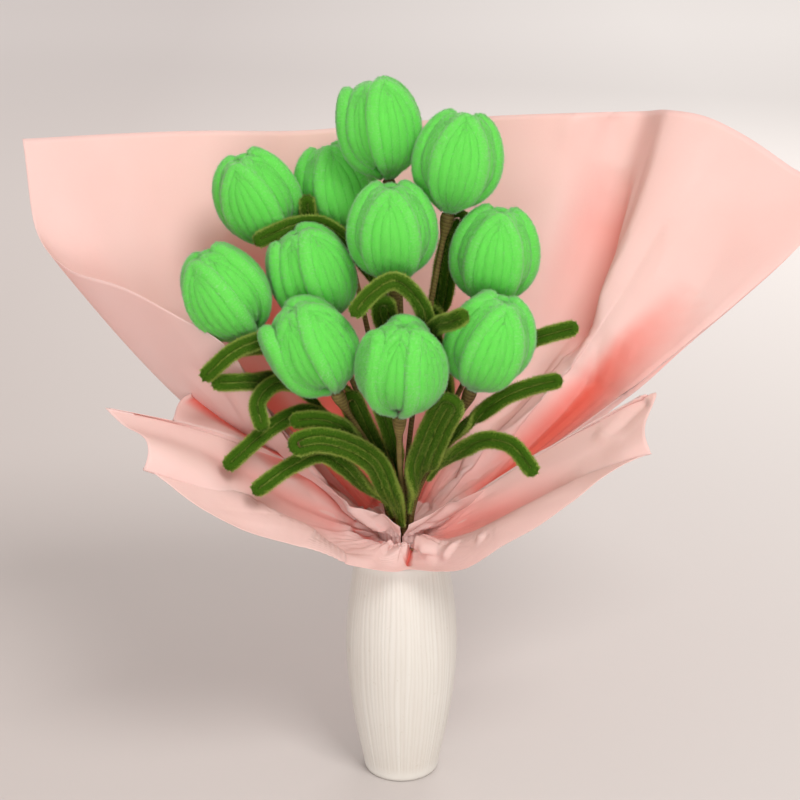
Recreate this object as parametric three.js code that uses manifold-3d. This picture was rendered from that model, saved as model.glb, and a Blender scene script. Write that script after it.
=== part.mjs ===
// Artificial tulip bouquet: eleven chenille tulips on taped wire stems, folded chenille leaves,
// two sheets of wrapping paper tied round the stems, and the ribbed vase they stand in.
// Millimetres, +Z up, origin at the middle of the vase's flat base, -Y towards the front.

import * as THREE from "three";
import { mergeVertices } from "three/addons/utils/BufferGeometryUtils.js";
import Module from "manifold-3d";

const wasm = await Module();
wasm.setup();

// Running gap between pieces that touch on the real bouquet
const clearance = 0.3;

// Vase
const vaseHeight = 166;
const vaseFootRadius = 26;
const vaseFootEdge = 2.5;
const vaseBellyRadius = 38.5;
const vaseBellyHeight = 98;
const vaseRimRadius = 31;
const vaseWall = 4.5;
const vaseFloor = 7;
const vaseSides = 32;
const vaseLevels = 4;

// Stems
const stemDiameter = 3.6;
const stemSides = 7;
const stemSteps = 10;
const bundleHeight = 176;
const stemCurl = 0.36;
const neckRadius = 4.6;
const neckLength = 17;

// Tulip heads
const petalsPerRow = 3;
const outerRibs = 4;
const innerRibs = 3;
const headRadius = 28;
const headHalfHeight = 33;
const headTaper = 0.05;
const ribDepth = 0.55;
const petalThickness = 3.2;
const petalRowGap = 1.9;
const baseAngle = -80;
const outerTipAngle = 60;
const outerGapAngle = 22;
const innerTipAngle = 82;
const innerGapAngle = 66;
const dimpleDepth = 5;
const flareStart = -30;
const neckGap = 0.4;

// Leaves
const strandDiameter = 6;
const strandPitch = 4.6;
const leafRootRadius = 1.8;
const leafGroove = 0.7;
const leafSeatRise = 13;
const leafSeatLift = 0.5;
const leafStations = [0, 0.1, 0.22, 0.36, 0.5, 0.64, 0.78, 0.9, 0.97];
const leafFacing = new THREE.Vector3(0, -0.94, 0.34);

// Wrapping paper and its tie
const paperThickness = 1;
const backCollarRadius = 15;
const collarBottom = 160;
const backCollarTop = 183;
const frontCollarTop = 178;
const backBearings = [205, -15];
const frontBearings = [184, 357];
const sheetRows = [0.12, 0.3, 0.52, 0.76, 1];
const bowPlace = 0.4;
const tieHeight = 171;
const tieWidth = 4;
const tieThickness = 1.6;
const tieSides = 28;

// Each tulip: the middle of its head, its lean to the right and away in degrees, the bearing of
// its first petal, its place in the six-sided stem bundle, and how far its first petal stands off.
const tulips = [
  { at: [-14, 40, 449], lean: [-9, 4], turn: 180, slot: [-1, 1], flare: 5 },
  { at: [36, 13, 433], lean: [10, 2], turn: 270, slot: [0, 1], flare: 0 },
  { at: [-95, 44, 401], lean: [-24, -8], turn: 262, slot: [-2, 1], flare: 0 },
  { at: [-44, 68, 400], lean: [-12, 4], turn: 284, slot: [-2, 2], flare: 0 },
  { at: [-6, -8, 392], lean: [-2, -3], turn: 270, slot: [0, 0], flare: 0 },
  { at: [60, 0, 374], lean: [7, -1], turn: 268, slot: [1, 0], flare: 0 },
  { at: [-58, 1, 361], lean: [-18, -2], turn: 190, slot: [-1, 0], flare: 3 },
  { at: [-112, -19, 354], lean: [-33, -4], turn: 250, slot: [-2, 0], flare: 0 },
  { at: [-56, -50, 328], lean: [-25, -9], turn: 196, slot: [0, -1], flare: 8 },
  { at: [0, -66, 320], lean: [2, -10], turn: 200, slot: [1, -1], flare: 4 },
  { at: [55, -48, 331], lean: [18, -8], turn: 276, slot: [2, -1], flare: 0 },
];

// Each leaf: the stem that it is taped to, the height where it leaves that stem, how many strands
// wide it is, and points along its middle line from there to its tip.
const leaves = [
  {
    name: "leaf_right_arch", stem: 10, height: 228, strands: 2,
    along: [[42, -52, 262], [54, -60, 270], [69, -70, 270], [82, -84, 258]],
  },
  {
    name: "leaf_front_broad", stem: 9, height: 200, strands: 4,
    along: [[15, -46, 253], [25, -60, 284], [32, -68, 300]],
  },
  {
    name: "leaf_right_low", stem: 10, height: 250, strands: 2,
    along: [[66, -34, 289], [86, -36, 298], [100, -38, 302]],
  },
  {
    name: "leaf_right_high", stem: 5, height: 288, strands: 2,
    along: [[65, -12, 312], [85, -15, 322], [111, -18, 331]],
  },
  {
    name: "leaf_between_right_blooms", stem: 5, height: 262, strands: 2,
    along: [[20, -38, 334], [24, -52, 344], [30, -66, 350], [38, -78, 358]],
  },
  {
    name: "leaf_back_upright", stem: 1, height: 300, strands: 3,
    along: [[26, 28, 337], [30, 32, 362], [38, 32, 394]],
  },
  {
    name: "leaf_centre_fold", stem: 4, height: 290, strands: 2,
    along: [[15, -40, 344], [7, -48, 363], [-5, -54, 373], [-18, -60, 367], [-29, -66, 356]],
  },
  {
    name: "leaf_centre_dark", stem: 4, height: 312, strands: 3,
    along: [[-10, -18, 336], [-12, -28, 352]],
  },
  {
    name: "leaf_back_left_low", stem: 0, height: 316, strands: 2,
    along: [
      [-20, 30, 352], [-36, 27, 376], [-52, 25, 388],
      [-66, 22, 389], [-76, 14, 388], [-93, 6, 382],
    ],
  },
  {
    name: "leaf_back_left_loop", stem: 2, height: 318, strands: 2,
    along: [[-62, 35, 360], [-61, 39, 378], [-62, 36, 402]],
  },
  {
    name: "leaf_left_high", stem: 6, height: 306, strands: 2,
    along: [
      [-58, -14, 322], [-70, -19, 328], [-83, -27, 329],
      [-91, -43, 330], [-105, -54, 327], [-123, -59, 312],
    ],
  },
  {
    name: "leaf_left_dark", stem: 6, height: 292, strands: 2,
    along: [[-60, 8, 308], [-85, 2, 312], [-111, -8, 313]],
  },
  {
    name: "leaf_left_straight", stem: 6, height: 272, strands: 2,
    along: [[-62, -1, 284], [-83, -10, 293], [-92, -32, 299], [-100, -44, 303], [-117, -54, 306]],
  },
  {
    name: "leaf_left_curl", stem: 7, height: 272, strands: 2,
    along: [[-68, -26, 296], [-82, -40, 300], [-91, -52, 292], [-88, -60, 279]],
  },
  {
    name: "leaf_left_droop", stem: 7, height: 238, strands: 2,
    along: [[-56, -26, 275], [-71, -39, 278], [-88, -49, 270], [-110, -64, 254]],
  },
  {
    name: "leaf_left_hook", stem: 8, height: 250, strands: 2,
    along: [[-40, -50, 276], [-54, -55, 282], [-68, -58, 282]],
  },
  {
    name: "leaf_left_lowest", stem: 8, height: 196, strands: 2,
    along: [[-22, -26, 222], [-38, -44, 246], [-52, -52, 257], [-70, -62, 253], [-92, -74, 241]],
  },
  {
    name: "leaf_front_arch", stem: 9, height: 190, strands: 3,
    along: [[-8, -37, 225], [-18, -50, 251], [-35, -60, 266], [-53, -68, 273], [-68, -74, 271]],
  },
  {
    name: "leaf_inner_left", stem: 7, height: 200, strands: 3,
    along: [[-17, -13, 240], [-27, -22, 268], [-34, -28, 288]],
  },
  {
    name: "leaf_inner_centre", stem: 4, height: 222, strands: 2,
    along: [[-7, -18, 255], [-14, -28, 282]],
  },
  {
    name: "leaf_inner_right", stem: 5, height: 212, strands: 2,
    along: [[17, -12, 246], [24, -17, 266], [31, -21, 284]],
  },
];

// The free edge of each sheet from left to right: a point, and how far the paper between it and
// the stems bows outwards and down.
const backEdge = [
  { at: [-113, -38, 326], bow: 14 },
  { at: [-145, -30, 344], bow: 32 },
  { at: [-179, -15, 357], bow: 42 },
  { at: [-219, 10, 363], bow: 47 },
  { at: [-240, 35, 380], bow: 46 },
  { at: [-251, 62, 437], bow: 42 },
  { at: [-199, 95, 433], bow: 38 },
  { at: [-138, 115, 431], bow: 36 },
  { at: [-71, 125, 429], bow: 36 },
  { at: [0, 130, 434], bow: 38 },
  { at: [70, 128, 439], bow: 40 },
  { at: [121, 122, 442], bow: 46 },
  { at: [167, 128, 442], bow: 60 },
  { at: [181, 92, 450], bow: 76 },
  { at: [204, 80, 448], bow: 70 },
  { at: [231, 72, 436], bow: 56 },
  { at: [259, 55, 419], bow: 46 },
  { at: [283, 35, 405], bow: 38 },
];
const frontEdge = [
  { at: [-188, -50, 288], bow: -12 },
  { at: [-163, -75, 270], bow: -4 },
  { at: [-164, -85, 257], bow: 6 },
  { at: [-128, -92, 238], bow: 10 },
  { at: [-99, -88, 220], bow: 8 },
  { at: [-73, -80, 205], bow: 6 },
  { at: [-46, -70, 191], bow: 0 },
  { at: [-25, -58, 180], bow: -4 },
  { at: [-4, -44, 173], bow: -6 },
  { at: [5, -35, 175], bow: -4 },
  { at: [12, -43, 173], bow: -6 },
  { at: [38, -58, 177], bow: -4 },
  { at: [66, -72, 200], bow: 4 },
  { at: [87, -80, 217], bow: 6 },
  { at: [108, -85, 237], bow: 8 },
  { at: [124, -85, 251], bow: 8 },
  { at: [158, -80, 266], bow: 4 },
  { at: [154, -62, 281], bow: -6 },
  { at: [161, -45, 297], bow: -12 },
];

const finishes = {
  ceramic: new THREE.MeshStandardMaterial({ color: 0xf1e8da, roughness: 0.55, metalness: 0 }),
  petal: new THREE.MeshStandardMaterial({ color: 0x62e86c, roughness: 0.95, metalness: 0 }),
  leaf: new THREE.MeshStandardMaterial({ color: 0x44661a, roughness: 0.95, metalness: 0 }),
  tape: new THREE.MeshStandardMaterial({ color: 0x7a6a38, roughness: 0.8, metalness: 0 }),
  paper: new THREE.MeshStandardMaterial({ color: 0xf4c4bc, roughness: 0.7, metalness: 0 }),
  twine: new THREE.MeshStandardMaterial({ color: 0xcdb58c, roughness: 0.9, metalness: 0 }),
};

const radians = THREE.MathUtils.degToRad;
const lerp = THREE.MathUtils.lerp;
const smooth = THREE.MathUtils.smoothstep;
const point = (list) => new THREE.Vector3(...list);

// One closed body from a geometry: seams merged, triangles of no area dropped, faces outwards
function closedBody(geometry) {
  const bare = geometry.clone();
  bare.deleteAttribute("normal");
  bare.deleteAttribute("uv");
  const merged = mergeVertices(bare, 1e-3);
  const places = merged.attributes.position;
  const kept = [];
  let volume = 0;
  for (let i = 0; i < merged.index.count; i += 3) {
    const [a, b, c] = [0, 1, 2].map((k) => merged.index.getX(i + k));
    if (a === b || b === c || a === c) continue;
    kept.push(a, b, c);
    const [p, q, r] = [a, b, c].map((k) => new THREE.Vector3().fromBufferAttribute(places, k));
    volume += p.dot(q.cross(r));
  }
  if (volume < 0) kept.reverse();
  const body = new THREE.BufferGeometry();
  body.setAttribute("position", new THREE.Float32BufferAttribute(places.array, 3));
  body.setIndex(kept);
  body.computeVertexNormals();
  return body;
}

// A geometry as a solid that can be joined to another
function solidOf(geometry) {
  const body = closedBody(geometry);
  const mesh = new wasm.Mesh({
    numProp: 3,
    vertProperties: new Float32Array(body.attributes.position.array),
    triVerts: new Uint32Array(body.index.array),
  });
  return new wasm.Manifold(mesh);
}

// A joined solid as a geometry again
function geometryOf(solid) {
  const mesh = solid.getMesh();
  const geometry = new THREE.BufferGeometry();
  geometry.setAttribute("position", new THREE.Float32BufferAttribute(mesh.vertProperties, 3));
  geometry.setIndex(Array.from(mesh.triVerts));
  geometry.computeVertexNormals();
  return geometry;
}

// A body through rings of points, each ring with as many points as the next, with an end point
// past the first ring and one past the last
function loft(rings, first, last) {
  const sides = rings[0].length;
  const places = [first, ...rings.flat(), last];
  const index = [];
  for (let j = 0; j < sides; j++) {
    const k = (j + 1) % sides;
    index.push(0, 1 + k, 1 + j);
    for (let i = 0; i + 1 < rings.length; i++) {
      const low = 1 + i * sides;
      const high = low + sides;
      index.push(low + j, low + k, high + k, low + j, high + k, high + j);
    }
    const top = 1 + (rings.length - 1) * sides;
    index.push(top + j, top + k, places.length - 1);
  }
  const geometry = new THREE.BufferGeometry().setFromPoints(places);
  geometry.setIndex(index);
  return closedBody(geometry);
}

// A sheet of even thickness on a grid of points, columns of rows
function thickSheet(grid, thickness) {
  const columns = grid.length;
  const rows = grid[0].length;
  const side = [];
  const clampColumn = (i) => Math.min(Math.max(i, 0), columns - 1);
  const clampRow = (j) => Math.min(Math.max(j, 0), rows - 1);
  for (const way of [0.5, -0.5]) {
    for (let i = 0; i < columns; i++) {
      for (let j = 0; j < rows; j++) {
        const across = grid[clampColumn(i + 1)][j].clone().sub(grid[clampColumn(i - 1)][j]);
        const along = grid[i][clampRow(j + 1)].clone().sub(grid[i][clampRow(j - 1)]);
        const normal = across.cross(along).normalize();
        side.push(grid[i][j].clone().addScaledVector(normal, way * thickness));
      }
    }
  }
  const index = [];
  const under = columns * rows;
  for (let i = 0; i + 1 < columns; i++) {
    for (let j = 0; j + 1 < rows; j++) {
      const a = i * rows + j;
      const b = a + rows;
      index.push(a, b, b + 1, a, b + 1, a + 1);
      index.push(under + a, under + b + 1, under + b, under + a, under + a + 1, under + b + 1);
    }
  }
  const hem = [];
  for (let i = 0; i < columns; i++) hem.push(i * rows);
  for (let j = 1; j < rows; j++) hem.push((columns - 1) * rows + j);
  for (let i = columns - 2; i >= 0; i--) hem.push(i * rows + rows - 1);
  for (let j = rows - 2; j > 0; j--) hem.push(j);
  hem.forEach((a, k) => {
    const b = hem[(k + 1) % hem.length];
    index.push(a, under + a, under + b, a, under + b, b);
  });
  const geometry = new THREE.BufferGeometry().setFromPoints(side);
  geometry.setIndex(index);
  return closedBody(geometry);
}

// A place between the vase's belly and one of its ends, as shares of the way in radius and height
function besideBelly(endRadius, endHeight, narrowing, climb) {
  const radius = lerp(vaseBellyRadius, endRadius, narrowing);
  return new THREE.Vector2(radius, lerp(vaseBellyHeight, endHeight, climb));
}

// Outer face of the vase from foot to rim, as radius and height
function vaseProfile() {
  const foot = [vaseFootRadius, vaseFootEdge];
  const rim = [vaseRimRadius, vaseHeight];
  const lower = new THREE.CubicBezierCurve(
    besideBelly(...foot, 1, 1),
    besideBelly(...foot, 0.7, 0.8),
    besideBelly(...foot, 0, 0.4),
    besideBelly(...foot, 0, 0),
  );
  const upper = new THREE.CubicBezierCurve(
    besideBelly(...rim, 0, 0),
    besideBelly(...rim, 0, 0.4),
    besideBelly(...rim, 0.6, 0.74),
    besideBelly(...rim, 1, 1),
  );
  return [...lower.getPoints(vaseLevels), ...upper.getPoints(vaseLevels).slice(1)];
}

// Hollow vase with a flat base, an open mouth and a wall of even thickness
function makeVase() {
  const outside = vaseProfile();
  const inside = outside
    .filter((p) => p.y > vaseFloor + vaseWall)
    .map((p) => new THREE.Vector2(p.x - vaseWall, p.y))
    .reverse();
  const floorRadius = vaseFootRadius - vaseWall;
  const outline = [
    new THREE.Vector2(0, 0),
    new THREE.Vector2(vaseFootRadius - vaseFootEdge, 0),
    ...outside,
    ...inside,
    new THREE.Vector2(floorRadius, vaseFloor),
    new THREE.Vector2(0, vaseFloor),
  ];
  return closedBody(new THREE.LatheGeometry(outline, vaseSides).rotateX(Math.PI / 2));
}

// Which way a tulip points
function axisOf(tulip) {
  const [right, away] = tulip.lean.map(radians);
  return new THREE.Vector3(Math.tan(right), Math.tan(away), 1).normalize();
}

// Height of the middle of a head above the ball of its neck
const headLift = neckRadius + neckGap + headHalfHeight * Math.sin(radians(-baseAngle));

// The ball at the top of a tulip's neck, which its head sits on and turns about
function neckOf(tulip) {
  return point(tulip.at).addScaledVector(axisOf(tulip), -headLift);
}

// Middle line of a stem: upright in the bundle, then out to the neck
function stemLine(tulip) {
  const pitch = stemDiameter + clearance;
  const [q, r] = tulip.slot;
  const x = pitch * (q + r / 2);
  const y = pitch * r * Math.sin(Math.PI / 3);
  const foot = new THREE.Vector3(x, y, vaseFloor + clearance);
  const top = new THREE.Vector3(x, y, bundleHeight);
  const neck = neckOf(tulip);
  const reach = stemCurl * neck.distanceTo(top);
  const line = new THREE.CurvePath();
  line.add(new THREE.LineCurve3(foot, top));
  line.add(new THREE.CubicBezierCurve3(
    top,
    top.clone().setZ(top.z + reach),
    neck.clone().addScaledVector(axisOf(tulip), -reach),
    neck,
  ));
  return line;
}

// A place on a stem at a height, and the stem's direction there
function placeOnStem(tulip, height) {
  const spots = stemLine(tulip).getSpacedPoints(stemSteps);
  let k = 1;
  while (k < stemSteps && spots[k].z < height) k++;
  const along = spots[k].clone().sub(spots[k - 1]);
  const share = (height - spots[k - 1].z) / along.z;
  return { at: spots[k - 1].clone().addScaledVector(along, share), along: along.normalize() };
}

// Tape-wrapped wire stem whose top swells into a round-ended neck
function makeStem(tulip) {
  const radius = stemDiameter / 2;
  const section = new THREE.Shape();
  for (let j = 0; j < stemSides; j++) {
    const turn = (j / stemSides) * 2 * Math.PI;
    const place = [radius * Math.cos(turn), radius * Math.sin(turn)];
    if (j === 0) section.moveTo(...place);
    else section.lineTo(...place);
  }
  const wire = new THREE.ExtrudeGeometry(section, {
    steps: stemSteps,
    extrudePath: stemLine(tulip),
  });
  const outline = [
    new THREE.Vector2(0, -neckLength),
    new THREE.Vector2(radius, -neckLength),
    new THREE.Vector2(neckRadius, 0),
    new THREE.Vector2(neckRadius * Math.SQRT1_2, neckRadius * Math.SQRT1_2),
    new THREE.Vector2(0, neckRadius),
  ];
  const neck = new THREE.LatheGeometry(outline, stemSides);
  const turn = new THREE.Quaternion().setFromUnitVectors(new THREE.Vector3(0, 1, 0), axisOf(tulip));
  neck.applyQuaternion(turn).translate(...neckOf(tulip).toArray());
  return geometryOf(solidOf(wire).add(solidOf(neck)));
}

// A point of a head's surface, at a turn round the head and an angle up it, some way inside
function headPoint(turn, angle, inset, rib, flare) {
  const across = Math.cos(angle);
  const up = Math.sin(angle);
  const normal = new THREE.Vector2(across / headRadius, up / headHalfHeight).normalize();
  const spread = flare * smooth(up, Math.sin(radians(flareStart)), 1) ** 2;
  const belly = headRadius * across * (1 - headTaper * up);
  const radius = belly + (rib - inset) * normal.x + spread;
  const height = headLift + headHalfHeight * up + (rib - inset) * normal.y;
  return new THREE.Vector3(radius * Math.cos(turn), radius * Math.sin(turn), height);
}

// Where a turn round the head falls on its petal, from -1 to 1, and which petal that is
function petalPlace(turn) {
  const share = (turn * petalsPerRow) / (2 * Math.PI);
  const petal = Math.round(share);
  return { across: 2 * (share - petal), petal: petal % petalsPerRow };
}

// The three outer petals, joined at the base, each a fan of parallel ribs with a rounded tip
function makeOuterPetals(tulip) {
  const sides = petalsPerRow * outerRibs * 2;
  const bands = [0, 0.22, 0.45, 0.68, 0.88, 1];
  const lining = [1, 0.78, 0.56, 0.34, 0.12];
  const rings = [...bands, ...lining].map((share, row) => {
    const inset = row < bands.length ? 0 : petalThickness;
    return Array.from({ length: sides }, (_, j) => {
      const turn = (j / sides) * 2 * Math.PI;
      const { across, petal } = petalPlace(turn);
      const edge = lerp(outerTipAngle, outerGapAngle, Math.abs(across) ** 2.6);
      const angle = radians(lerp(baseAngle, edge, share));
      const rib = row < bands.length ? (j % 2 ? ribDepth : -ribDepth) * Math.min(1, 4 * share) : 0;
      const flare = petal === 0 ? tulip.flare * (1 - across ** 4) : 0;
      return headPoint(turn, angle, inset, rib, flare);
    });
  });
  const foot = headPoint(0, radians(baseAngle), 0, 0, 0);
  const floor = rings.at(-1)[0];
  return loft(rings, new THREE.Vector3(0, 0, foot.z), new THREE.Vector3(0, 0, floor.z));
}

// The three inner petals as the closed bud that they form, turned half a petal to the outer row
function makeInnerPetals() {
  const sides = petalsPerRow * innerRibs * 2;
  const inset = petalThickness + petalRowGap;
  const bands = [0.26, 0.42, 0.58, 0.74, 0.88, 1];
  const rings = bands.map((share) => {
    return Array.from({ length: sides }, (_, j) => {
      const turn = (j / sides) * 2 * Math.PI;
      const { across } = petalPlace(turn);
      const edge = lerp(innerTipAngle, innerGapAngle, Math.abs(across) ** 2.6);
      const angle = radians(lerp(baseAngle, edge, share));
      const rib = share > 0.7 && j % 2 ? ribDepth : 0;
      return headPoint(turn + Math.PI / petalsPerRow, angle, inset, rib, 0);
    });
  });
  const floor = new THREE.Vector3(0, 0, rings[0][0].z);
  const dimple = headPoint(0, radians(innerTipAngle), inset, 0, 0).z - dimpleDepth;
  return loft(rings, floor, new THREE.Vector3(0, 0, dimple));
}

// A leaf's flat section, two rounded edges and a groove between them, at a place along the leaf
function leafRing(middle, side, face, halfWidth, halfThickness) {
  const upper = [[1, 0], [0.6, 1], [0, leafGroove], [-0.6, 1]];
  const lower = upper.map(([across, up]) => [-across, -up]);
  return [...upper, ...lower].map(([across, up]) => middle.clone()
    .addScaledVector(side, across * halfWidth)
    .addScaledVector(face, up * halfThickness));
}

// A leaf of folded chenille strands: a thin taped root against its stem, a flat body, a round tip
function makeLeaf(leaf) {
  const tulip = tulips[leaf.stem];
  const full = { width: (leaf.strands * strandPitch) / 2, thickness: strandDiameter / 2 };
  const root = placeOnStem(tulip, leaf.height);
  const rise = placeOnStem(tulip, leaf.height + leafSeatRise);
  const out = point(leaf.along[0]).sub(rise.at).projectOnPlane(rise.along).normalize();
  const seat = stemDiameter / 2 + clearance;
  const path = new THREE.CatmullRomCurve3([
    root.at.clone().addScaledVector(out, seat + leafRootRadius),
    rise.at.clone().addScaledVector(out, seat + full.thickness + leafSeatLift),
    ...leaf.along.map(point),
  ], false, "centripetal");
  const rings = leafStations.map((share) => {
    const middle = path.getPointAt(share);
    const along = path.getTangentAt(share);
    const wanted = out.clone().lerp(leafFacing, smooth(share, 0.1, 0.6));
    const face = wanted.projectOnPlane(along).normalize();
    const side = new THREE.Vector3().crossVectors(along, face);
    const grown = smooth(share, 0.02, 0.34);
    const round = Math.sqrt(1 - smooth(share, 0.84, 1.02) ** 2);
    return leafRing(
      middle,
      side,
      face,
      lerp(leafRootRadius, full.width, grown) * round,
      lerp(leafRootRadius, full.thickness, grown) * lerp(0.75, 1, round),
    );
  });
  return loft(rings, path.getPointAt(0), path.getPointAt(1));
}

// A sheet gathered round the stems between two bearings, its folds fanning out to its free edge
function makeWrap(radius, top, bearings, edge) {
  const columns = 2 * (edge.length - 1);
  const rim = new THREE.CatmullRomCurve3(edge.map((e) => point(e.at)), false, "centripetal");
  const grid = [];
  for (let i = 0; i <= columns; i++) {
    const share = i / columns;
    const bearing = radians(lerp(...bearings, share));
    const low = new THREE.Vector3(radius * Math.cos(bearing), radius * Math.sin(bearing), collarBottom);
    const high = low.clone().setZ(top);
    const end = rim.getPoint(share);
    const before = edge[Math.floor(i / 2)];
    const after = edge[Math.ceil(i / 2)];
    const along = end.clone().sub(high).normalize();
    const outward = new THREE.Vector3(end.x, end.y, 0).normalize().projectOnPlane(along).normalize();
    const bow = (before.bow + after.bow) / 2;
    const bend = high.clone().lerp(end, bowPlace).addScaledVector(outward, bow);
    const fall = new THREE.QuadraticBezierCurve3(high, bend, end);
    grid.push([low, high, ...sheetRows.map((t) => fall.getPoint(t))]);
  }
  return thickSheet(grid, paperThickness);
}

// Round tie that draws both sheets in against the stems
function makeTie(innerRadius) {
  const outer = innerRadius + tieThickness;
  const outline = [
    new THREE.Vector2(innerRadius, tieHeight),
    new THREE.Vector2(outer, tieHeight + tieWidth * 0.2),
    new THREE.Vector2(outer, tieHeight + tieWidth * 0.8),
    new THREE.Vector2(innerRadius, tieHeight + tieWidth),
    new THREE.Vector2(innerRadius, tieHeight),
  ];
  return closedBody(new THREE.LatheGeometry(outline, tieSides).rotateX(Math.PI / 2));
}

function named(name, geometry, material) {
  const mesh = new THREE.Mesh(geometry, material);
  mesh.name = name;
  return mesh;
}

function assemble() {
  const bouquet = new THREE.Group();
  bouquet.add(named("vase", makeVase(), finishes.ceramic));
  tulips.forEach((tulip, i) => {
    const number = String(i + 1).padStart(2, "0");
    bouquet.add(named(`stem_${number}`, makeStem(tulip), finishes.tape));
    const head = new THREE.Group();
    head.position.copy(neckOf(tulip));
    head.quaternion.setFromUnitVectors(new THREE.Vector3(0, 0, 1), axisOf(tulip));
    head.rotateZ(radians(tulip.turn));
    head.add(named(`outer_petals_${number}`, makeOuterPetals(tulip), finishes.petal));
    head.add(named(`inner_petals_${number}`, makeInnerPetals(), finishes.petal));
    bouquet.add(head);
  });
  for (const leaf of leaves) bouquet.add(named(leaf.name, makeLeaf(leaf), finishes.leaf));
  const frontCollarRadius = backCollarRadius + paperThickness + 2 * clearance;
  const tieRadius = frontCollarRadius + paperThickness / 2 + clearance;
  const back = makeWrap(backCollarRadius, backCollarTop, backBearings, backEdge);
  const front = makeWrap(frontCollarRadius, frontCollarTop, frontBearings, frontEdge);
  bouquet.add(named("back_wrap", back, finishes.paper));
  bouquet.add(named("front_wrap", front, finishes.paper));
  bouquet.add(named("stem_tie", makeTie(tieRadius), finishes.twine));
  return bouquet;
}

export default assemble();
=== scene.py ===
"""Artificial tulip bouquet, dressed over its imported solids.

Chenille tulips and leaves on taped wire stems, two sheets of wrapping paper tied round the stems
with twine, and the ribbed vase they stand in. Metres, +Z up, origin at the middle of the vase's
flat base, -Y towards the front.
"""
import logging
import math
import random
from collections.abc import Callable, Iterable, Sequence
from dataclasses import dataclass, field, replace
from enum import Enum
from functools import partial
from typing import Any

import bmesh
import bpy
import numpy as np
from mathutils import Matrix, Vector, kdtree, noise


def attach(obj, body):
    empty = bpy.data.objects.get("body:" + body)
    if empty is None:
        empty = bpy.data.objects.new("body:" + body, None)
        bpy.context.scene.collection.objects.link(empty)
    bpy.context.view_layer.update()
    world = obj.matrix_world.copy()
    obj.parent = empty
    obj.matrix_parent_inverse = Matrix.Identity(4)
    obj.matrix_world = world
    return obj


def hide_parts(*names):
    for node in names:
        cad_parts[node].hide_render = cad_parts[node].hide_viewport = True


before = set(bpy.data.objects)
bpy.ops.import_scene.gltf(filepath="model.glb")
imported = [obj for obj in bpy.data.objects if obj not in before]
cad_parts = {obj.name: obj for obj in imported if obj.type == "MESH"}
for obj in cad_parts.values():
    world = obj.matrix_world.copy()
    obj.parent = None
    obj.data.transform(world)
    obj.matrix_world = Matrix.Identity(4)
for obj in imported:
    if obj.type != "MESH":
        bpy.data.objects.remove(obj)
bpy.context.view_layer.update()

Socket = bpy.types.NodeSocket
Material = bpy.types.Material
Mesh = bpy.types.Mesh
Draft = bmesh.types.BMesh
Pair = tuple[float, float]
Place = tuple[float, float, float]
Tint = tuple[float, float, float, float]
Colour = tuple[int, int, int]

log = logging.getLogger("bouquet")

MM = 0.001
UP = Vector((0.0, 0.0, 1.0))


class Body(Enum):
    """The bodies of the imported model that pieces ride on, besides the eleven blooms."""

    VASE = "vase"
    BOUQUET = "bouquet"


class Slot(Enum):
    """The record's material slots."""

    CERAMIC = "vase_ceramic"
    PETAL = "petal_chenille"
    LEAF = "leaf_chenille"
    TAPE = "stem_tape"
    PAPER = "wrap_paper"
    TWINE = "tie_twine"


def lerp(low: float, high: float, share: float) -> float:
    """Returns the value at a share of the way from low to high."""
    return low + (high - low) * share


def smooth(value: float, low: float, high: float) -> float:
    """Eases from 0 to 1.

    Args:
        value: The place that is asked about.
        low: The place up to which the result is 0.
        high: The place from which the result is 1.

    Returns:
        The eased share.
    """
    share = min(max((value - low) / (high - low), 0.0), 1.0)
    return share * share * (3.0 - 2.0 * share)


def mm(values: Sequence[float]) -> Vector:
    """Returns a point given in millimetres as a vector in metres."""
    return Vector(values) * MM


def shade(red: int, green: int, blue: int) -> Tint:
    """Turns a colour as seen on a screen into the linear values that shaders take.

    Args:
        red: Red from 0 to 255.
        green: Green from 0 to 255.
        blue: Blue from 0 to 255.

    Returns:
        Linear red, green and blue, and an alpha of 1.
    """
    linear = []
    for part in (red, green, blue):
        value = part / 255.0
        linear.append(value / 12.92 if value <= 0.04045 else ((value + 0.055) / 1.055) ** 2.4)
    return (linear[0], linear[1], linear[2], 1.0)


class Rail:
    """A smooth line through points, with evenly spaced places along it."""

    DENSE = 24

    def __init__(self, points: Sequence[Vector], corners: Iterable[int] = ()) -> None:
        """Prepares a centripetal line.

        Args:
            points: The points that the line goes through.
            corners: Which of them it turns sharply at.
        """
        self.points = [Vector(p) for p in points]
        self.corners = {0, len(points) - 1, *corners}

    def at(self, share: float) -> Vector:
        """Finds a place on the line.

        Args:
            share: How far along, counted in stretches between points, from 0 to 1.

        Returns:
            The place.
        """
        pts = self.points
        spot = share * (len(pts) - 1)
        k = min(int(spot), len(pts) - 2)
        t = spot - k
        one, two = pts[k], pts[k + 1]
        before = one * 2 - two if k in self.corners else pts[k - 1]
        after = two * 2 - one if k + 1 in self.corners else pts[k + 2]
        gaps = [max((b - a).length ** 0.5, 1e-6) for a, b in ((before, one), (one, two), (two, after))]
        start = (one - before) / gaps[0] - (two - before) / (gaps[0] + gaps[1]) + (two - one) / gaps[1]
        stop = (two - one) / gaps[1] - (after - one) / (gaps[1] + gaps[2]) + (after - two) / gaps[2]
        start, stop = start * gaps[1], stop * gaps[1]
        square, cube = t * t, t * t * t
        return (
            one * (2 * cube - 3 * square + 1)
            + start * (cube - 2 * square + t)
            + two * (3 * square - 2 * cube)
            + stop * (cube - square)
        )

    def even(self, count: int) -> list[Vector]:
        """Returns count places, evenly spaced along the line's length."""
        steps = self.DENSE * (len(self.points) - 1)
        return evened([self.at(i / steps) for i in range(steps + 1)], count)


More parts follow.
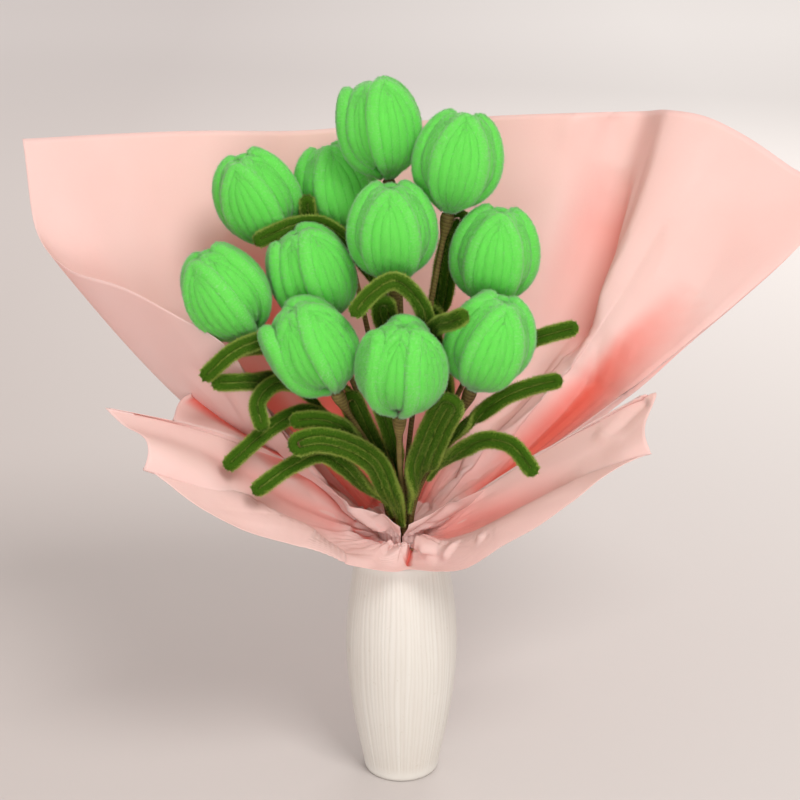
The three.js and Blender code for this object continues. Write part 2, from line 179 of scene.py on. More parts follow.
def evened(points: Sequence[Vector], count: int) -> list[Vector]:
    """Spaces points evenly along the line that they follow.

    Args:
        points: Dense points along a line.
        count: How many points are wanted.

    Returns:
        The evenly spaced points, the first and last kept.
    """
    places = np.array([tuple(p) for p in points])
    run = np.concatenate([[0.0], np.cumsum(np.linalg.norm(np.diff(places, axis=0), axis=1))])
    wanted = np.linspace(0.0, run[-1], count)
    spots = np.stack([np.interp(wanted, run, places[:, axis]) for axis in range(3)], axis=1)
    return [Vector(spot) for spot in spots]


@dataclass
class Strand:
    """A run of tube: the points that its middle follows, and its radius at each."""

    points: list[Vector]
    radii: list[float]

    def frames(self) -> list[Matrix]:
        """Works out a frame at each point, turned as little as can be from the last.

        Returns:
            The frames, each scaled to the radius at its point.
        """
        made = []
        across = None
        last = len(self.points) - 1
        for i, (point, radius) in enumerate(zip(self.points, self.radii)):
            along = (self.points[min(i + 1, last)] - self.points[max(i - 1, 0)]).normalized()
            if across is None:
                across = along.orthogonal().normalized()
            across = (across - along * across.dot(along)).normalized()
            side = along.cross(across)
            turn = Matrix((across, side, along)).transposed().to_4x4()
            made.append(Matrix.Translation(point) @ turn @ Matrix.Diagonal((radius, radius, 1.0, 1.0)))
        return made


def keep_mesh(bm: Draft, name: str) -> Mesh:
    """Turns a working mesh into a kept one.

    Args:
        bm: The working mesh, which is freed.
        name: The kept mesh's name.

    Returns:
        The kept mesh.
    """
    mesh = bpy.data.meshes.new(name)
    bm.to_mesh(mesh)
    bm.free()
    return mesh


def add_object(name: str, data: bpy.types.ID) -> bpy.types.Object:
    """Adds an object to the scene.

    Args:
        name: The object's name.
        data: What the object shows.

    Returns:
        The new object.
    """
    made = bpy.data.objects.new(name, data)
    bpy.context.scene.collection.objects.link(made)
    return made


def new_mesh() -> Draft:
    """Starts a mesh with the layers that the finishes and the pile read.

    Returns:
        The empty mesh.
    """
    bm = bmesh.new()
    bm.verts.layers.float_vector.new("lay")
    bm.verts.layers.float_vector.new("nap")
    bm.verts.layers.float.new("shown")
    # rim is how much painted sheen pales a point's colour.
    bm.verts.layers.float.new("rim")
    return bm


def sweep(bm: Draft, strand: Strand, sides: int = 8, pale: float = 0.0) -> None:
    """Draws a ring along a strand, closed at both ends.

    Each point's "lay" holds the ring's cosine and sine there and the length from the start.

    Args:
        bm: The mesh that takes the tube.
        strand: What the ring follows.
        sides: How many corners the ring has.
        pale: How much painted sheen pales the strand, which goes into the rim attribute.
    """
    lay = bm.verts.layers.float_vector["lay"]
    shown = bm.verts.layers.float["shown"]
    rim = bm.verts.layers.float["rim"]
    frames = strand.frames()
    ring = bmesh.ops.create_circle(bm, cap_ends=True, segments=sides, radius=1.0, matrix=frames[0])["verts"]
    for j, vert in enumerate(ring):
        angle = 2 * math.pi * j / sides
        vert[lay] = (math.cos(angle), math.sin(angle), 0.0)
        vert[shown] = 1.0
        vert[rim] = pale
    inside = set(ring)
    edges = [e for e in {e for v in ring for e in v.link_edges} if inside.issuperset(e.verts)]
    run = 0.0
    for i in range(1, len(frames)):
        run += (strand.points[i] - strand.points[i - 1]).length
        geom = bmesh.ops.extrude_edge_only(bm, edges=edges)["geom"]
        ring = [g for g in geom if isinstance(g, bmesh.types.BMVert)]
        inside = set(ring)
        edges = [g for g in geom if isinstance(g, bmesh.types.BMEdge) and inside.issuperset(g.verts)]
        bmesh.ops.transform(
            bm, matrix=frames[i] @ frames[i - 1].inverted(), space=Matrix.Identity(4), verts=ring
        )
        for vert in ring:
            vert[lay] = (vert[lay][0], vert[lay][1], run)
    bmesh.ops.contextual_create(bm, geom=edges)


def comb_nap(bm: Draft, heart: Vector | None = None, blade: float = 0.0) -> None:
    """Writes which way the pile faces at each point into "nap".

    Args:
        bm: The strands.
        heart: The middle of the head that they lie on.
        blade: How much the pile faces away from the heart, over facing away from its own strand.
    """
    bmesh.ops.recalc_face_normals(bm, faces=bm.faces)
    nap = bm.verts.layers.float_vector["nap"]
    for vert in bm.verts:
        away = (vert.co - heart).normalized() if heart else vert.normal
        vert[nap] = vert.normal.lerp(away, blade).normalized()


def finish_mesh(bm: Draft, name: str, move: Matrix | None = None) -> Mesh:
    """Turns a working mesh into a kept one, smooth and facing outwards.

    Args:
        bm: The working mesh, which is freed.
        name: The kept mesh's name.
        move: Where the whole mesh goes, if it isn't there yet.

    Returns:
        The kept mesh.
    """
    if move is not None:
        bmesh.ops.transform(bm, matrix=move, space=Matrix.Identity(4), verts=bm.verts)
        nap = bm.verts.layers.float_vector["nap"]
        for vert in bm.verts:
            vert[nap] = move.to_3x3() @ vert[nap]
    bmesh.ops.recalc_face_normals(bm, faces=bm.faces)
    for face in bm.faces:
        face.smooth = True
    return keep_mesh(bm, name)


def place_piece(
    name: str,
    mesh: Mesh,
    finish: Material,
    body: str,
    nodes: Iterable[str],
) -> bpy.types.Object:
    """Puts a finished piece in the scene in place of the CAD nodes that it stands for.

    Args:
        name: The piece's name.
        mesh: Its mesh, in place.
        finish: Its material.
        body: The body that it rides on.
        nodes: The CAD nodes that it replaces.

    Returns:
        The piece.
    """
    piece = add_object(name, mesh)
    mesh.materials.clear()
    mesh.materials.append(finish)
    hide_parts(*nodes)
    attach(piece, body)
    log.info("%s: %d faces on %s", name, len(mesh.polygons), body)
    return piece


def add_node(
    tree: bpy.types.NodeTree, kind: str, sockets: dict[Any, Any] | None = None, **settings: Any
) -> bpy.types.Node:
    """Adds a node to a tree.

    Args:
        tree: The tree.
        kind: The node's type.
        sockets: A value, or an output to join, for each input by name or number.
        settings: The node's own settings.

    Returns:
        The node.
    """
    node = tree.nodes.new(kind)
    for key, value in settings.items():
        setattr(node, key, value)
    for key, value in (sockets or {}).items():
        if isinstance(value, Socket):
            tree.links.new(value, node.inputs[key])
        else:
            node.inputs[key].default_value = value
    return node


class NodeSheet:
    """A material's nodes, with short calls that add and join them."""

    NOISE_RANGE = (0.3, 0.7)

    def __init__(self, name: str) -> None:
        """Starts an empty material.

        Args:
            name: The material's name.
        """
        self.material = bpy.data.materials.new(name)
        self.material.use_nodes = True
        self.tree = self.material.node_tree
        self.tree.nodes.clear()

    def add(self, kind: str, sockets: dict[Any, Any] | None = None, **settings: Any) -> bpy.types.Node:
        """Returns a new node of this material, as add_node makes it."""
        return add_node(self.tree, kind, sockets, **settings)

    def math(self, kind: str, *values: Any) -> Socket:
        """Returns the result of a Math node on the values given."""
        return self.add("ShaderNodeMath", dict(enumerate(values)), operation=kind).outputs[0]

    def mix(self, share: Any, first: Any, second: Any, way: str = "MIX") -> Socket:
        """Mixes two colours.

        Args:
            share: How much of the second there is.
            first: The first colour.
            second: The second colour.
            way: How they are blended.

        Returns:
            The mixed colour.
        """
        sockets = {0: share, 6: first, 7: second}
        return self.add("ShaderNodeMix", sockets, data_type="RGBA", blend_type=way).outputs[2]

    def remap(
        self, value: Any, low: float, high: float, to_low: float = 0.0, to_high: float = 1.0
    ) -> Socket:
        """Stretches a value from one range to another.

        Args:
            value: The value.
            low: The range's low end.
            high: The range's high end.
            to_low: What the low end becomes.
            to_high: What the high end becomes.

        Returns:
            The stretched value.
        """
        sockets = {0: value, 1: low, 2: high, 3: to_low, 4: to_high}
        return self.add("ShaderNodeMapRange", sockets).outputs[0]

    def vary(self, noise: Any, low: float, high: float) -> Socket:
        """Returns noise stretched from the range that it mostly keeps to, onto low to high."""
        return self.remap(noise, *self.NOISE_RANGE, low, high)

    def read(self, name: str) -> Socket:
        """Returns an attribute of the mesh as a number."""
        return self.add("ShaderNodeAttribute", attribute_name=name).outputs["Fac"]

    def weighed(self, *terms: tuple[Any, float]) -> Socket:
        """Adds up values, each times its weight.

        Args:
            terms: The values, each with its weight.

        Returns:
            The sum.
        """
        parts = [self.math("MULTIPLY", value, weight) for value, weight in terms]
        total = parts[0]
        for part in parts[1:]:
            total = self.math("ADD", total, part)
        return total

    def surface(self, colour: Any, rough: Any, gloss: float, more: dict[str, Any]) -> Socket:
        """Adds a Principled surface.

        Args:
            colour: Its colour.
            rough: Its roughness.
            gloss: Its specular level.
            more: Its other inputs by name.

        Returns:
            The surface.
        """
        sockets = {"Base Color": colour, "Roughness": rough, "Specular IOR Level": gloss, **more}
        return self.add("ShaderNodeBsdfPrincipled", sockets).outputs[0]

    def lit_through(
        self, surface: Socket, colour: Any, glow: float
    ) -> Socket:
        """Lets light through a surface.

        Args:
            surface: The surface.
            colour: The colour of the light that comes through.
            glow: Its share.

        Returns:
            Both together.
        """
        through = self.add("ShaderNodeBsdfTranslucent", {"Color": colour}).outputs[0]
        return self.add("ShaderNodeMixShader", {0: glow, 1: surface, 2: through}).outputs[0]

    def object_places(self) -> Socket:
        """Returns the object coordinates."""
        return self.add("ShaderNodeTexCoord").outputs["Object"]

    def noise(
        self, scale: float, detail: float = 2.0, places: Any = None, rough: float = 0.5
    ) -> Socket:
        """Adds noise.

        Args:
            scale: How fine it is, in spots to the metre.
            detail: How many finer layers it has.
            places: Where it is read, or the object coordinates.
            rough: How strong the finer layers are.

        Returns:
            The noise as a number.
        """
        vector = self.object_places() if places is None else places
        sockets = {"Vector": vector, "Scale": scale, "Detail": detail, "Roughness": rough}
        return self.add("ShaderNodeTexNoise", sockets).outputs[0]

    def stretched(self, scale: Sequence[float]) -> Socket:
        """Returns the object coordinates, scaled differently along each axis."""
        return self.add("ShaderNodeMapping", {"Vector": self.object_places(), "Scale": scale}).outputs[0]

    def lay(self) -> tuple[Socket, Socket, Socket]:
        """Reads where a point lies on a tube.

        Returns:
            The cosine and sine round the tube and the length along it.
        """
        read = self.add("ShaderNodeAttribute", attribute_name="lay")
        parts = self.add("ShaderNodeSeparateXYZ", {0: read.outputs["Vector"]})
        return parts.outputs[0], parts.outputs[1], parts.outputs[2]

    def nap(self, soft: float) -> Socket:
        """Returns a normal between each fibre's own and that of the strand that it stands on.

        Args:
            soft: The share of the strand's.

        Returns:
            The normal.
        """
        read = self.add("ShaderNodeAttribute", attribute_name="nap").outputs["Vector"]
        way = {"vector_type": "NORMAL", "convert_from": "OBJECT", "convert_to": "WORLD"}
        turned = self.add("ShaderNodeVectorTransform", {0: read}, **way).outputs[0]
        own = self.add("ShaderNodeNewGeometry").outputs["Normal"]
        sockets = {0: soft, 4: own, 5: turned}
        both = self.add("ShaderNodeMix", sockets, data_type="VECTOR").outputs[1]
        return self.add("ShaderNodeVectorMath", {0: both}, operation="NORMALIZE").outputs[0]

    def bump(self, height: Any, strength: float, distance: float) -> Socket:
        """Makes a normal from a height.

        Args:
            height: The height.
            strength: How much of it shows.
            distance: How tall it is at most, in metres.

        Returns:
            The normal.
        """
        sockets = {"Height": height, "Strength": strength, "Distance": distance}
        return self.add("ShaderNodeBump", sockets).outputs[0]

    def close(self, surface: Socket) -> Material:
        """Joins the surface to the output and returns the material."""
        self.add("ShaderNodeOutputMaterial", {"Surface": surface})
        return self.material


@dataclass(frozen=True)
class Chenille:
    """Velvety pile: its colour is darker at the fibres' roots as painted shade among them, paler at their
    tips as painted light, and paler on the strands' edges as a painted sheen.
    """

    name: str
    root: Colour
    tip: Colour
    pale: Colour
    rim: Colour
    sheen: float
    glow: float
    ticks: float
    soft: float = 0.75
    dark_below: float = 0.2
    edge: float = 0.4
    spread: float = 0.42
    wire_pitch: float = 0.0021

    def build(self) -> Material:
        """Builds the material.

        Returns:
            The material.
        """
        sheet = NodeSheet(self.name)
        places = sheet.object_places()
        broad = sheet.noise(38.0, 3.0, places)
        fine = sheet.noise(520.0, 3.0, places, 0.7)
        _, _, along = sheet.lay()
        comb = sheet.math("SINE", sheet.math("MULTIPLY", along, 2 * math.pi / self.wire_pitch))
        # Painted shade and light: the colour runs from the darker root colour at a fibre's foot, painted
        # shade among the fibres, to the paler tip colour, painted light on its tip.
        height = sheet.math("ADD", sheet.read("tip"), sheet.math("MULTIPLY", comb, self.ticks))
        height = sheet.math("ADD", height, sheet.vary(fine, -0.22, 0.22))
        # Painted sheen: the rim attribute, times edge, pales the strands' outer edges.
        height = sheet.math("ADD", height, sheet.math("MULTIPLY", sheet.read("rim"), self.edge))
        share = sheet.remap(height, self.dark_below, 1.0)
        lit = sheet.mix(sheet.remap(broad, 0.35, 0.65), shade(*self.tip), shade(*self.pale))
        colour = sheet.mix(share, shade(*self.root), lit)
        surface = sheet.surface(colour, sheet.vary(fine, 0.82, 0.98), 0.12, {
            "Sheen Weight": self.sheen,
            "Sheen Roughness": self.spread,
            "Sheen Tint": shade(*self.rim),
            "Normal": sheet.nap(self.soft),
        })
        return sheet.close(sheet.lit_through(surface, colour, self.glow))


@dataclass(frozen=True)
class Tape:
    """Floral tape wound round wire: fine crosswise turns, fibres and a papery roughness."""

    name: str = "stem_tape_finish"
    dark: Colour = (74, 56, 24)
    light: Colour = (146, 128, 72)
    pitch: float = 0.0024

    def build(self) -> Material:
        """Builds the material.

        Returns:
            The material.
        """
        sheet = NodeSheet(self.name)
        cosine, sine, along = sheet.lay()
        turn = sheet.math("DIVIDE", sheet.math("ARCTAN2", sine, cosine), 2 * math.pi)
        wound = sheet.math("ADD", sheet.math("DIVIDE", along, self.pitch), turn)
        step = sheet.math("FRACT", wound)
        fibre = sheet.noise(1.0, 4.0, sheet.stretched((900.0, 900.0, 220.0)), 0.7)
        patch = sheet.noise(60.0, 2.0)
        tone = sheet.math("ADD", sheet.weighed((step, 0.45), (fibre, 0.75)), sheet.vary(patch, -0.35, 0.1))
        colour = sheet.mix(sheet.remap(tone, 0.1, 0.95), shade(*self.dark), shade(*self.light))
        normal = sheet.bump(sheet.weighed((step, 0.7), (fibre, 0.5)), 0.7, 0.4 * MM)
        return sheet.close(sheet.surface(colour, sheet.vary(fibre, 0.6, 0.85), 0.3, {"Normal": normal}))


@dataclass(frozen=True)
class Paper:
    """Matt wrapping paper that lets some light through, with faint fibres and handling marks.

    heart is the middle of the flowers: the saturated red painted into the folds as painted shade and glow
    only shows on the side that faces it.
    """

    name: str = "wrap_paper_finish"
    front: Colour = (243, 222, 217)
    shaded: Colour = (240, 210, 203)
    # The saturated red that is painted into the folds as painted shade and glow.
    deep: Colour = (246, 106, 88)
    through: Colour = (254, 200, 190)
    fibres: Tint = (1.0, 0.9, 0.87, 1.0)
    glow: float = 0.35
    heart: Place = (0.0, -0.03, 0.42)

    def build(self) -> Material:
        """Builds the material.

        Returns:
            The material.
        """
        sheet = NodeSheet(self.name)
        cloud = sheet.noise(14.0, 3.0)
        fibre = sheet.noise(1400.0, 3.0, rough=0.65)
        crease = sheet.noise(55.0, 4.0, rough=0.6)
        ridge = sheet.math("ABSOLUTE", sheet.vary(crease, -1.0, 1.0))
        colour = sheet.mix(sheet.vary(cloud, 0.0, 0.7), shade(*self.front), shade(*self.shaded))
        colour = sheet.mix(sheet.remap(fibre, 0.35, 0.75, 0.0, 0.12), colour, self.fibres)
        # Painted shade and glow: each fold's share of saturated red, only on the side that faces the heart.
        colour = sheet.mix(
            sheet.math("MULTIPLY", sheet.read("deep"), self.inside(sheet)), colour, shade(*self.deep)
        )
        surface = sheet.surface(colour, sheet.vary(fibre, 0.5, 0.66), 0.3, {
            "Sheen Weight": 0.05,
            "Normal": sheet.bump(sheet.weighed((fibre, 0.25), (ridge, 0.5)), 0.18, 0.6 * MM),
        })
        return sheet.close(sheet.lit_through(surface, shade(*self.through), self.glow))

    def inside(self, sheet: NodeSheet) -> Socket:
        """Tells the side towards the flowers from the other.

        Args:
            sheet: Where the nodes go.

        Returns:
            1 where the paper faces the middle of the flowers and 0 where it faces away.
        """
        places = {0: sheet.object_places(), 1: self.heart}
        out = sheet.add("ShaderNodeVectorMath", places, operation="SUBTRACT").outputs[0]
        facing = sheet.add("ShaderNodeNewGeometry").outputs["Normal"]
        away = sheet.add("ShaderNodeVectorMath", {0: out, 1: facing}, operation="DOT_PRODUCT")
        return sheet.remap(away.outputs["Value"], 0.01, -0.01)


@dataclass(frozen=True)
class Ceramic:
    """Satin cream glaze over stoneware, a little darker where it pools between the ribs."""

    name: str = "vase_ceramic_finish"
    glaze: Colour = (222, 219, 212)
    pooled: Colour = (207, 200, 190)
    specks: Colour = (168, 148, 122)

    def build(self) -> Material:
        """Builds the material.

        Returns:
            The material.
        """
        sheet = NodeSheet(self.name)
        cloud = sheet.noise(22.0, 3.0)
        grain = sheet.noise(900.0, 2.0)
        pool = sheet.math("MULTIPLY", sheet.read("pool"), 0.75)
        share = sheet.math("ADD", pool, sheet.vary(cloud, 0.0, 0.25))
        colour = sheet.mix(share, shade(*self.glaze), shade(*self.pooled))
        speck = sheet.noise(260.0, 1.0)
        colour = sheet.mix(sheet.remap(speck, 0.72, 0.8, 0.0, 0.18), colour, shade(*self.specks))
        return sheet.close(sheet.surface(colour, sheet.vary(cloud, 0.3, 0.42), 0.45, {
            "Coat Weight": 0.15,
            "Coat Roughness": 0.22,
            "Normal": sheet.bump(grain, 0.12, 0.3 * MM),
        }))


@dataclass(frozen=True)
class Twine:
    """Jute twine: twisted plies with loose fibres.

    winds is how many radians the plies' pattern turns for each metre along the twine, and for each
    radian round it.
    """

    name: str = "tie_twine_finish"
    dark: Colour = (132, 98, 58)
    light: Colour = (214, 186, 140)
    winds: Pair = (2200.0, 3.0)

    def build(self) -> Material:
        """Builds the material.

        Returns:
            The material.
        """
        sheet = NodeSheet(self.name)
        cosine, sine, along = sheet.lay()
        turn = sheet.math("ARCTAN2", sine, cosine)
        twist = sheet.math("SINE", sheet.weighed((along, self.winds[0]), (turn, self.winds[1])))
        fibre = sheet.noise(1500.0, 3.0, rough=0.7)
        tone = sheet.math("ADD", sheet.remap(twist, -1.0, 1.0, 0.0, 0.6), sheet.math("MULTIPLY", fibre, 0.5))
        colour = sheet.mix(tone, shade(*self.dark), shade(*self.light))
        normal = sheet.bump(tone, 0.6, 0.3 * MM)
        return sheet.close(sheet.surface(colour, sheet.vary(fibre, 0.75, 0.95), 0.2, {"Normal": normal}))


@dataclass(frozen=True)
class Studio:
    """The pale seamless floor, darker on the left and near by, as in the photograph: the darker left is
    painted shade.
    """

    name: str = "studio_floor_finish"
    near_left: Colour = (190, 182, 178)
    near_right: Colour = (208, 203, 200)
    far_left: Colour = (206, 198, 195)
    far_right: Colour = (238, 234, 231)
    grain: Colour = (190, 178, 170)
    air: Colour = (255, 252, 250)
    haze: float = 0.13

    def build(self) -> Material:
        """Builds the material.

        Returns:
            The material.
        """
        sheet = NodeSheet(self.name)
        place = sheet.add("ShaderNodeSeparateXYZ", {0: sheet.object_places()}).outputs
        side, away = sheet.remap(place[0], -0.5, 0.6), sheet.remap(place[1], 0.2, 3.4)
        # Painted shade: the floor's colour darkens towards the left; far off it is lighter, which evens out
        # the lamps' falloff.
        near = sheet.mix(side, shade(*self.near_left), shade(*self.near_right))
        far = sheet.mix(side, shade(*self.far_left), shade(*self.far_right))
        colour = sheet.mix(away, near, far)
        grain = sheet.noise(180.0, 2.0)
        colour = sheet.mix(sheet.vary(grain, 0.0, 0.02), colour, shade(*self.grain))
        surface = sheet.surface(colour, 0.85, 0.15, {})
        path = sheet.add("ShaderNodeLightPath").outputs
        seen = sheet.math("MAXIMUM", path["Is Camera Ray"], path["Is Glossy Ray"])
        seen = sheet.math("MAXIMUM", seen, path["Is Transmission Ray"])
        veil = sheet.math("MULTIPLY", seen, sheet.remap(place[1], 0.5, 3.2, 0.0, self.haze))
        haze = sheet.add("ShaderNodeEmission", {"Color": shade(*self.air), "Strength": veil}).outputs[0]
        return sheet.close(sheet.add("ShaderNodeAddShader", {0: surface, 1: haze}).outputs[0])


@dataclass(frozen=True)
class Pile:
    """Short fibres that stand on a chenille strand.

    density is fibres to the square metre, lean the most that one tips, in radians, and row and
    teeth the length and depth of the waves that the wire's twist leaves in the pile.
    """

    density: float
    length: float
    width: float
    lean: float
    teeth: float
    seed: int = 0
    row: float = 1.7 * MM
    sizes: Pair = (0.65, 1.1)

    def fibre(self) -> bpy.types.Object:
        """Makes one fibre, a slim triangle standing on its short side.

        Returns:
            The fibre's object.
        """
        bm = bmesh.new()
        tip = bm.verts.layers.float.new("tip")
        corners = bmesh.ops.create_circle(bm, cap_ends=True, segments=3, radius=1.0)["verts"]
        places = ((-self.width / 2, 0.0, 0.0), (self.width / 2, 0.0, 0.0), (0.0, 0.0, self.length))
        for vert, place, height in zip(corners, places, (0.0, 0.0, 1.0)):
            vert.co = place
            vert[tip] = height
        return bpy.data.objects.new("fibre", keep_mesh(bm, "fibre"))

    def tree(self, fibre: bpy.types.Object) -> bpy.types.NodeTree:
        """Builds the nodes that stand fibres on a mesh.

        Args:
            fibre: One fibre.

        Returns:
            The node tree.
        """
        tree = bpy.data.node_groups.new("pile", "GeometryNodeTree")
        for way in ("INPUT", "OUTPUT"):
            tree.interface.new_socket("Geometry", in_out=way, socket_type="NodeSocketGeometry")
        add = partial(add_node, tree)
        start = add("NodeGroupInput").outputs[0]
        shown = add("GeometryNodeInputNamedAttribute", {0: "shown"}, data_type="FLOAT").outputs[0]
        dense = add("ShaderNodeMath", {0: shown, 1: self.density}, operation="MULTIPLY").outputs[0]
        places = {"Mesh": start, "Density": dense, "Seed": self.seed}
        spread = add("GeometryNodeDistributePointsOnFaces", places)
        low, high = (-self.lean, -self.lean, 0.0), (self.lean, self.lean, 2 * math.pi)
        tilts = {0: low, 1: high, "Seed": self.seed + 1}
        tilt = add("FunctionNodeRandomValue", tilts, data_type="FLOAT_VECTOR").outputs[0]
        turn = add("FunctionNodeRotateRotation", rotation_space="LOCAL")
        tree.links.new(spread.outputs["Rotation"], turn.inputs[0])
        tree.links.new(tilt, turn.inputs[1])
        sizes = {2: self.sizes[0], 3: self.sizes[1], "Seed": self.seed + 2}
        size = add("FunctionNodeRandomValue", sizes, data_type="FLOAT").outputs[1]
        lay = add("GeometryNodeInputNamedAttribute", {0: "lay"}, data_type="FLOAT_VECTOR").outputs[0]
        along = add("ShaderNodeSeparateXYZ", {0: lay}).outputs[2]
        waves = {0: along, 1: 2 * math.pi / self.row}
        phase = add("ShaderNodeMath", waves, operation="MULTIPLY").outputs[0]
        wave = add("ShaderNodeMath", {0: phase}, operation="SINE").outputs[0]
        row = add("ShaderNodeMath", {0: wave, 1: self.teeth, 2: 1.0}, operation="MULTIPLY_ADD").outputs[0]
        size = add("ShaderNodeMath", {0: size, 1: row}, operation="MULTIPLY").outputs[0]
        single = add("GeometryNodeObjectInfo", {"Object": fibre}).outputs["Geometry"]
        points = {"Points": spread.outputs["Points"], "Rotation": turn.outputs[0], "Scale": size}
        stood = add("GeometryNodeInstanceOnPoints", {**points, "Instance": single})
        real = add("GeometryNodeRealizeInstances", {0: stood.outputs[0]}).outputs[0]
        join = add("GeometryNodeJoinGeometry")
        tree.links.new(real, join.inputs[0])
        tree.links.new(start, join.inputs[0])
        add("NodeGroupOutput", {0: join.outputs[0]})
        return tree

    def grow(self, mesh: Mesh) -> Mesh:
        """Stands the pile on a mesh.

        Args:
            mesh: The strands, whose "shown" says where the pile goes.

        Returns:
            A mesh of the strands and their pile, which replaces the one given.
        """
        fibre = self.fibre()
        tree = self.tree(fibre)
        holder = add_object("holder", mesh)
        holder.modifiers.new("pile", "NODES").node_group = tree
        graph = bpy.context.evaluated_depsgraph_get()
        grown = bpy.data.meshes.new_from_object(holder.evaluated_get(graph), depsgraph=graph)
        name = mesh.name
        bpy.data.objects.remove(holder)
        bpy.data.objects.remove(fibre)
        bpy.data.node_groups.remove(tree)
        bpy.data.meshes.remove(mesh)
        grown.name = name
        return grown


PETAL_PILE = Pile(2.9e6, 1.25 * MM, 0.27 * MM, 0.5, 0.1)
LEAF_PILE = Pile(3.4e6, 1.4 * MM, 0.26 * MM, 0.35, 0.35)


@dataclass
class Tulip:
    """One tulip: a taped stem and a head of six petals of folded chenille.

    middle is the head's middle and lean its tilt to the right and away, turn the bearing of its
    first petal, place the stem's place in the bundle, and flare how far the first petal stands off.
    The angles of petals go round the head, or from -90 degrees at its base to 90 at its top.
    """

    number: int
    middle: Place
    lean: Pair
    turn: float
    place: tuple[int, int]
    flare: float
    stem_radius: float = 1.8 * MM
    stem_gap: float = 0.3 * MM
    foot: float = 7.3 * MM
    bundle: float = 176.0 * MM
    curl: float = 0.36
    neck_radius: float = 4.6 * MM
    neck_length: float = 17.0 * MM
    neck_gap: float = 0.4 * MM
    radius: float = 28.6 * MM
    half_height: float = 33.4 * MM
    taper: float = 0.05
    strand: float = 4.7 * MM
    petal_half: float = 41.0
    pins: int = 3
    outer_depth: float = 5.0 * MM
    inner_depth: float = 7.8 * MM
    base: float = -80.0
    seat: float = -70.0
    inner_seat: float = -62.0
    outer_tip: float = 70.0
    inner_tip: float = 80.0
    flare_from: float = -30.0
    blade_half: float = 26.0
    blade_tip: float = 58.0
    crown_depth: float = 9.0 * MM
    crown_points: int = 150
    crown_sweep: float = 11.0
    crown_span: Pair = (28.0, 88.0)
    stem_points: int = 90
    side_points: int = 60
    strand_points: int = 54
    hidden_half: float = 26.0
    hidden_below: float = 38.0

    @property
    def tag(self) -> str:
        """Returns the tulip's number as the CAD names have it."""
        return f"{self.number:02d}"

    @property
    def axis(self) -> Vector:
        """Returns which way the tulip points."""
        right, away = (math.tan(math.radians(angle)) for angle in self.lean)
        return Vector((right, away, 1.0)).normalized()

    @property
    def lift(self) -> float:
        """Returns the height of the head's middle above the neck."""
        return self.neck_radius + self.neck_gap + 33.0 * MM * math.sin(math.radians(-self.base))

    @property
    def neck(self) -> Vector:
        """Returns the middle of the ball that the head sits on."""
        return mm(self.middle) - self.axis * self.lift

    def stem_line(self, count: int) -> list[Vector]:
        """Follows the stem's middle from its foot to its neck.

        Args:
            count: How many points there are.

        Returns:
            The points, evenly spaced.
        """
        pitch = 2 * self.stem_radius + self.stem_gap
        x = pitch * (self.place[0] + self.place[1] / 2)
        y = pitch * self.place[1] * math.sin(math.pi / 3)
        top = Vector((x, y, self.bundle))
        neck = self.neck
        reach = self.curl * (neck - top).length
        one, two = top + UP * reach, neck - self.axis * reach
        dense = [Vector((x, y, lerp(self.foot, self.bundle, i / 40))) for i in range(40)]
        for i in range(81):
            t = i / 80
            s = 1 - t
            dense.append(top * s**3 + one * (3 * s * s * t) + two * (3 * s * t * t) + neck * t**3)
        return evened(dense, count)

    def on_stem(self, height: float) -> tuple[Vector, Vector]:
        """Finds where the stem passes a height.

        Args:
            height: The height in metres.

        Returns:
            The place and the stem's direction there.
        """
        spots = self.stem_line(11)
        k = 1
        while k < 10 and spots[k].z < height:
            k += 1
        along = spots[k] - spots[k - 1]
        share = (height - spots[k - 1].z) / along.z
        return spots[k - 1] + along * share, along.normalized()

    def build_stem(self, finish: Material) -> None:
        """Makes the stem and its neck.

        Args:
            finish: The tape's material.
        """
        points = self.stem_line(self.stem_points)
        length = sum((b - a).length for a, b in zip(points, points[1:]))
        step = length / (len(points) - 1)
        radii = []
        for i in range(len(points)):
            left = length - i * step
            swell = smooth(-left, -self.neck_length, 0.0)
            lump = 1 + 0.05 * noise.noise(Vector((i * 0.35, self.number, 0.0)))
            radii.append(lerp(self.stem_radius, self.neck_radius, swell) * lump)
        for share in (0.5, 0.8, 0.97):
            points.append(self.neck + self.axis * self.neck_radius * share)
            radii.append(self.neck_radius * math.sqrt(1 - share * share))
        bm = new_mesh()
        sweep(bm, Strand(points, radii), 14)
        mesh = finish_mesh(bm, f"stem_{self.tag}_taped")
        place_piece(mesh.name, mesh, finish, Body.BOUQUET.value, [f"stem_{self.tag}"])

    def head_point(self, turn: float, angle: float, depth: float, flare: float) -> Vector:
        """Finds a point of the head.

        Args:
            turn: The turn round the head.
            angle: The angle up it, from -90 to 90 degrees, in radians.
            depth: How far it is under the outside.
            flare: How far the petal stands off there.

        Returns:
            The point, from the neck with the head's axis up.
        """
        across, up = math.cos(angle), math.sin(angle)
        normal = Vector((across / self.radius, up / self.half_height)).normalized()
        spread = flare * smooth(up, math.sin(math.radians(self.flare_from)), 1.0) ** 2
        radius = self.radius * across * (1 - self.taper * up) - depth * normal.x + spread
        height = self.lift + self.half_height * up - depth * normal.y
        return Vector((radius * math.cos(turn), radius * math.sin(turn), height))

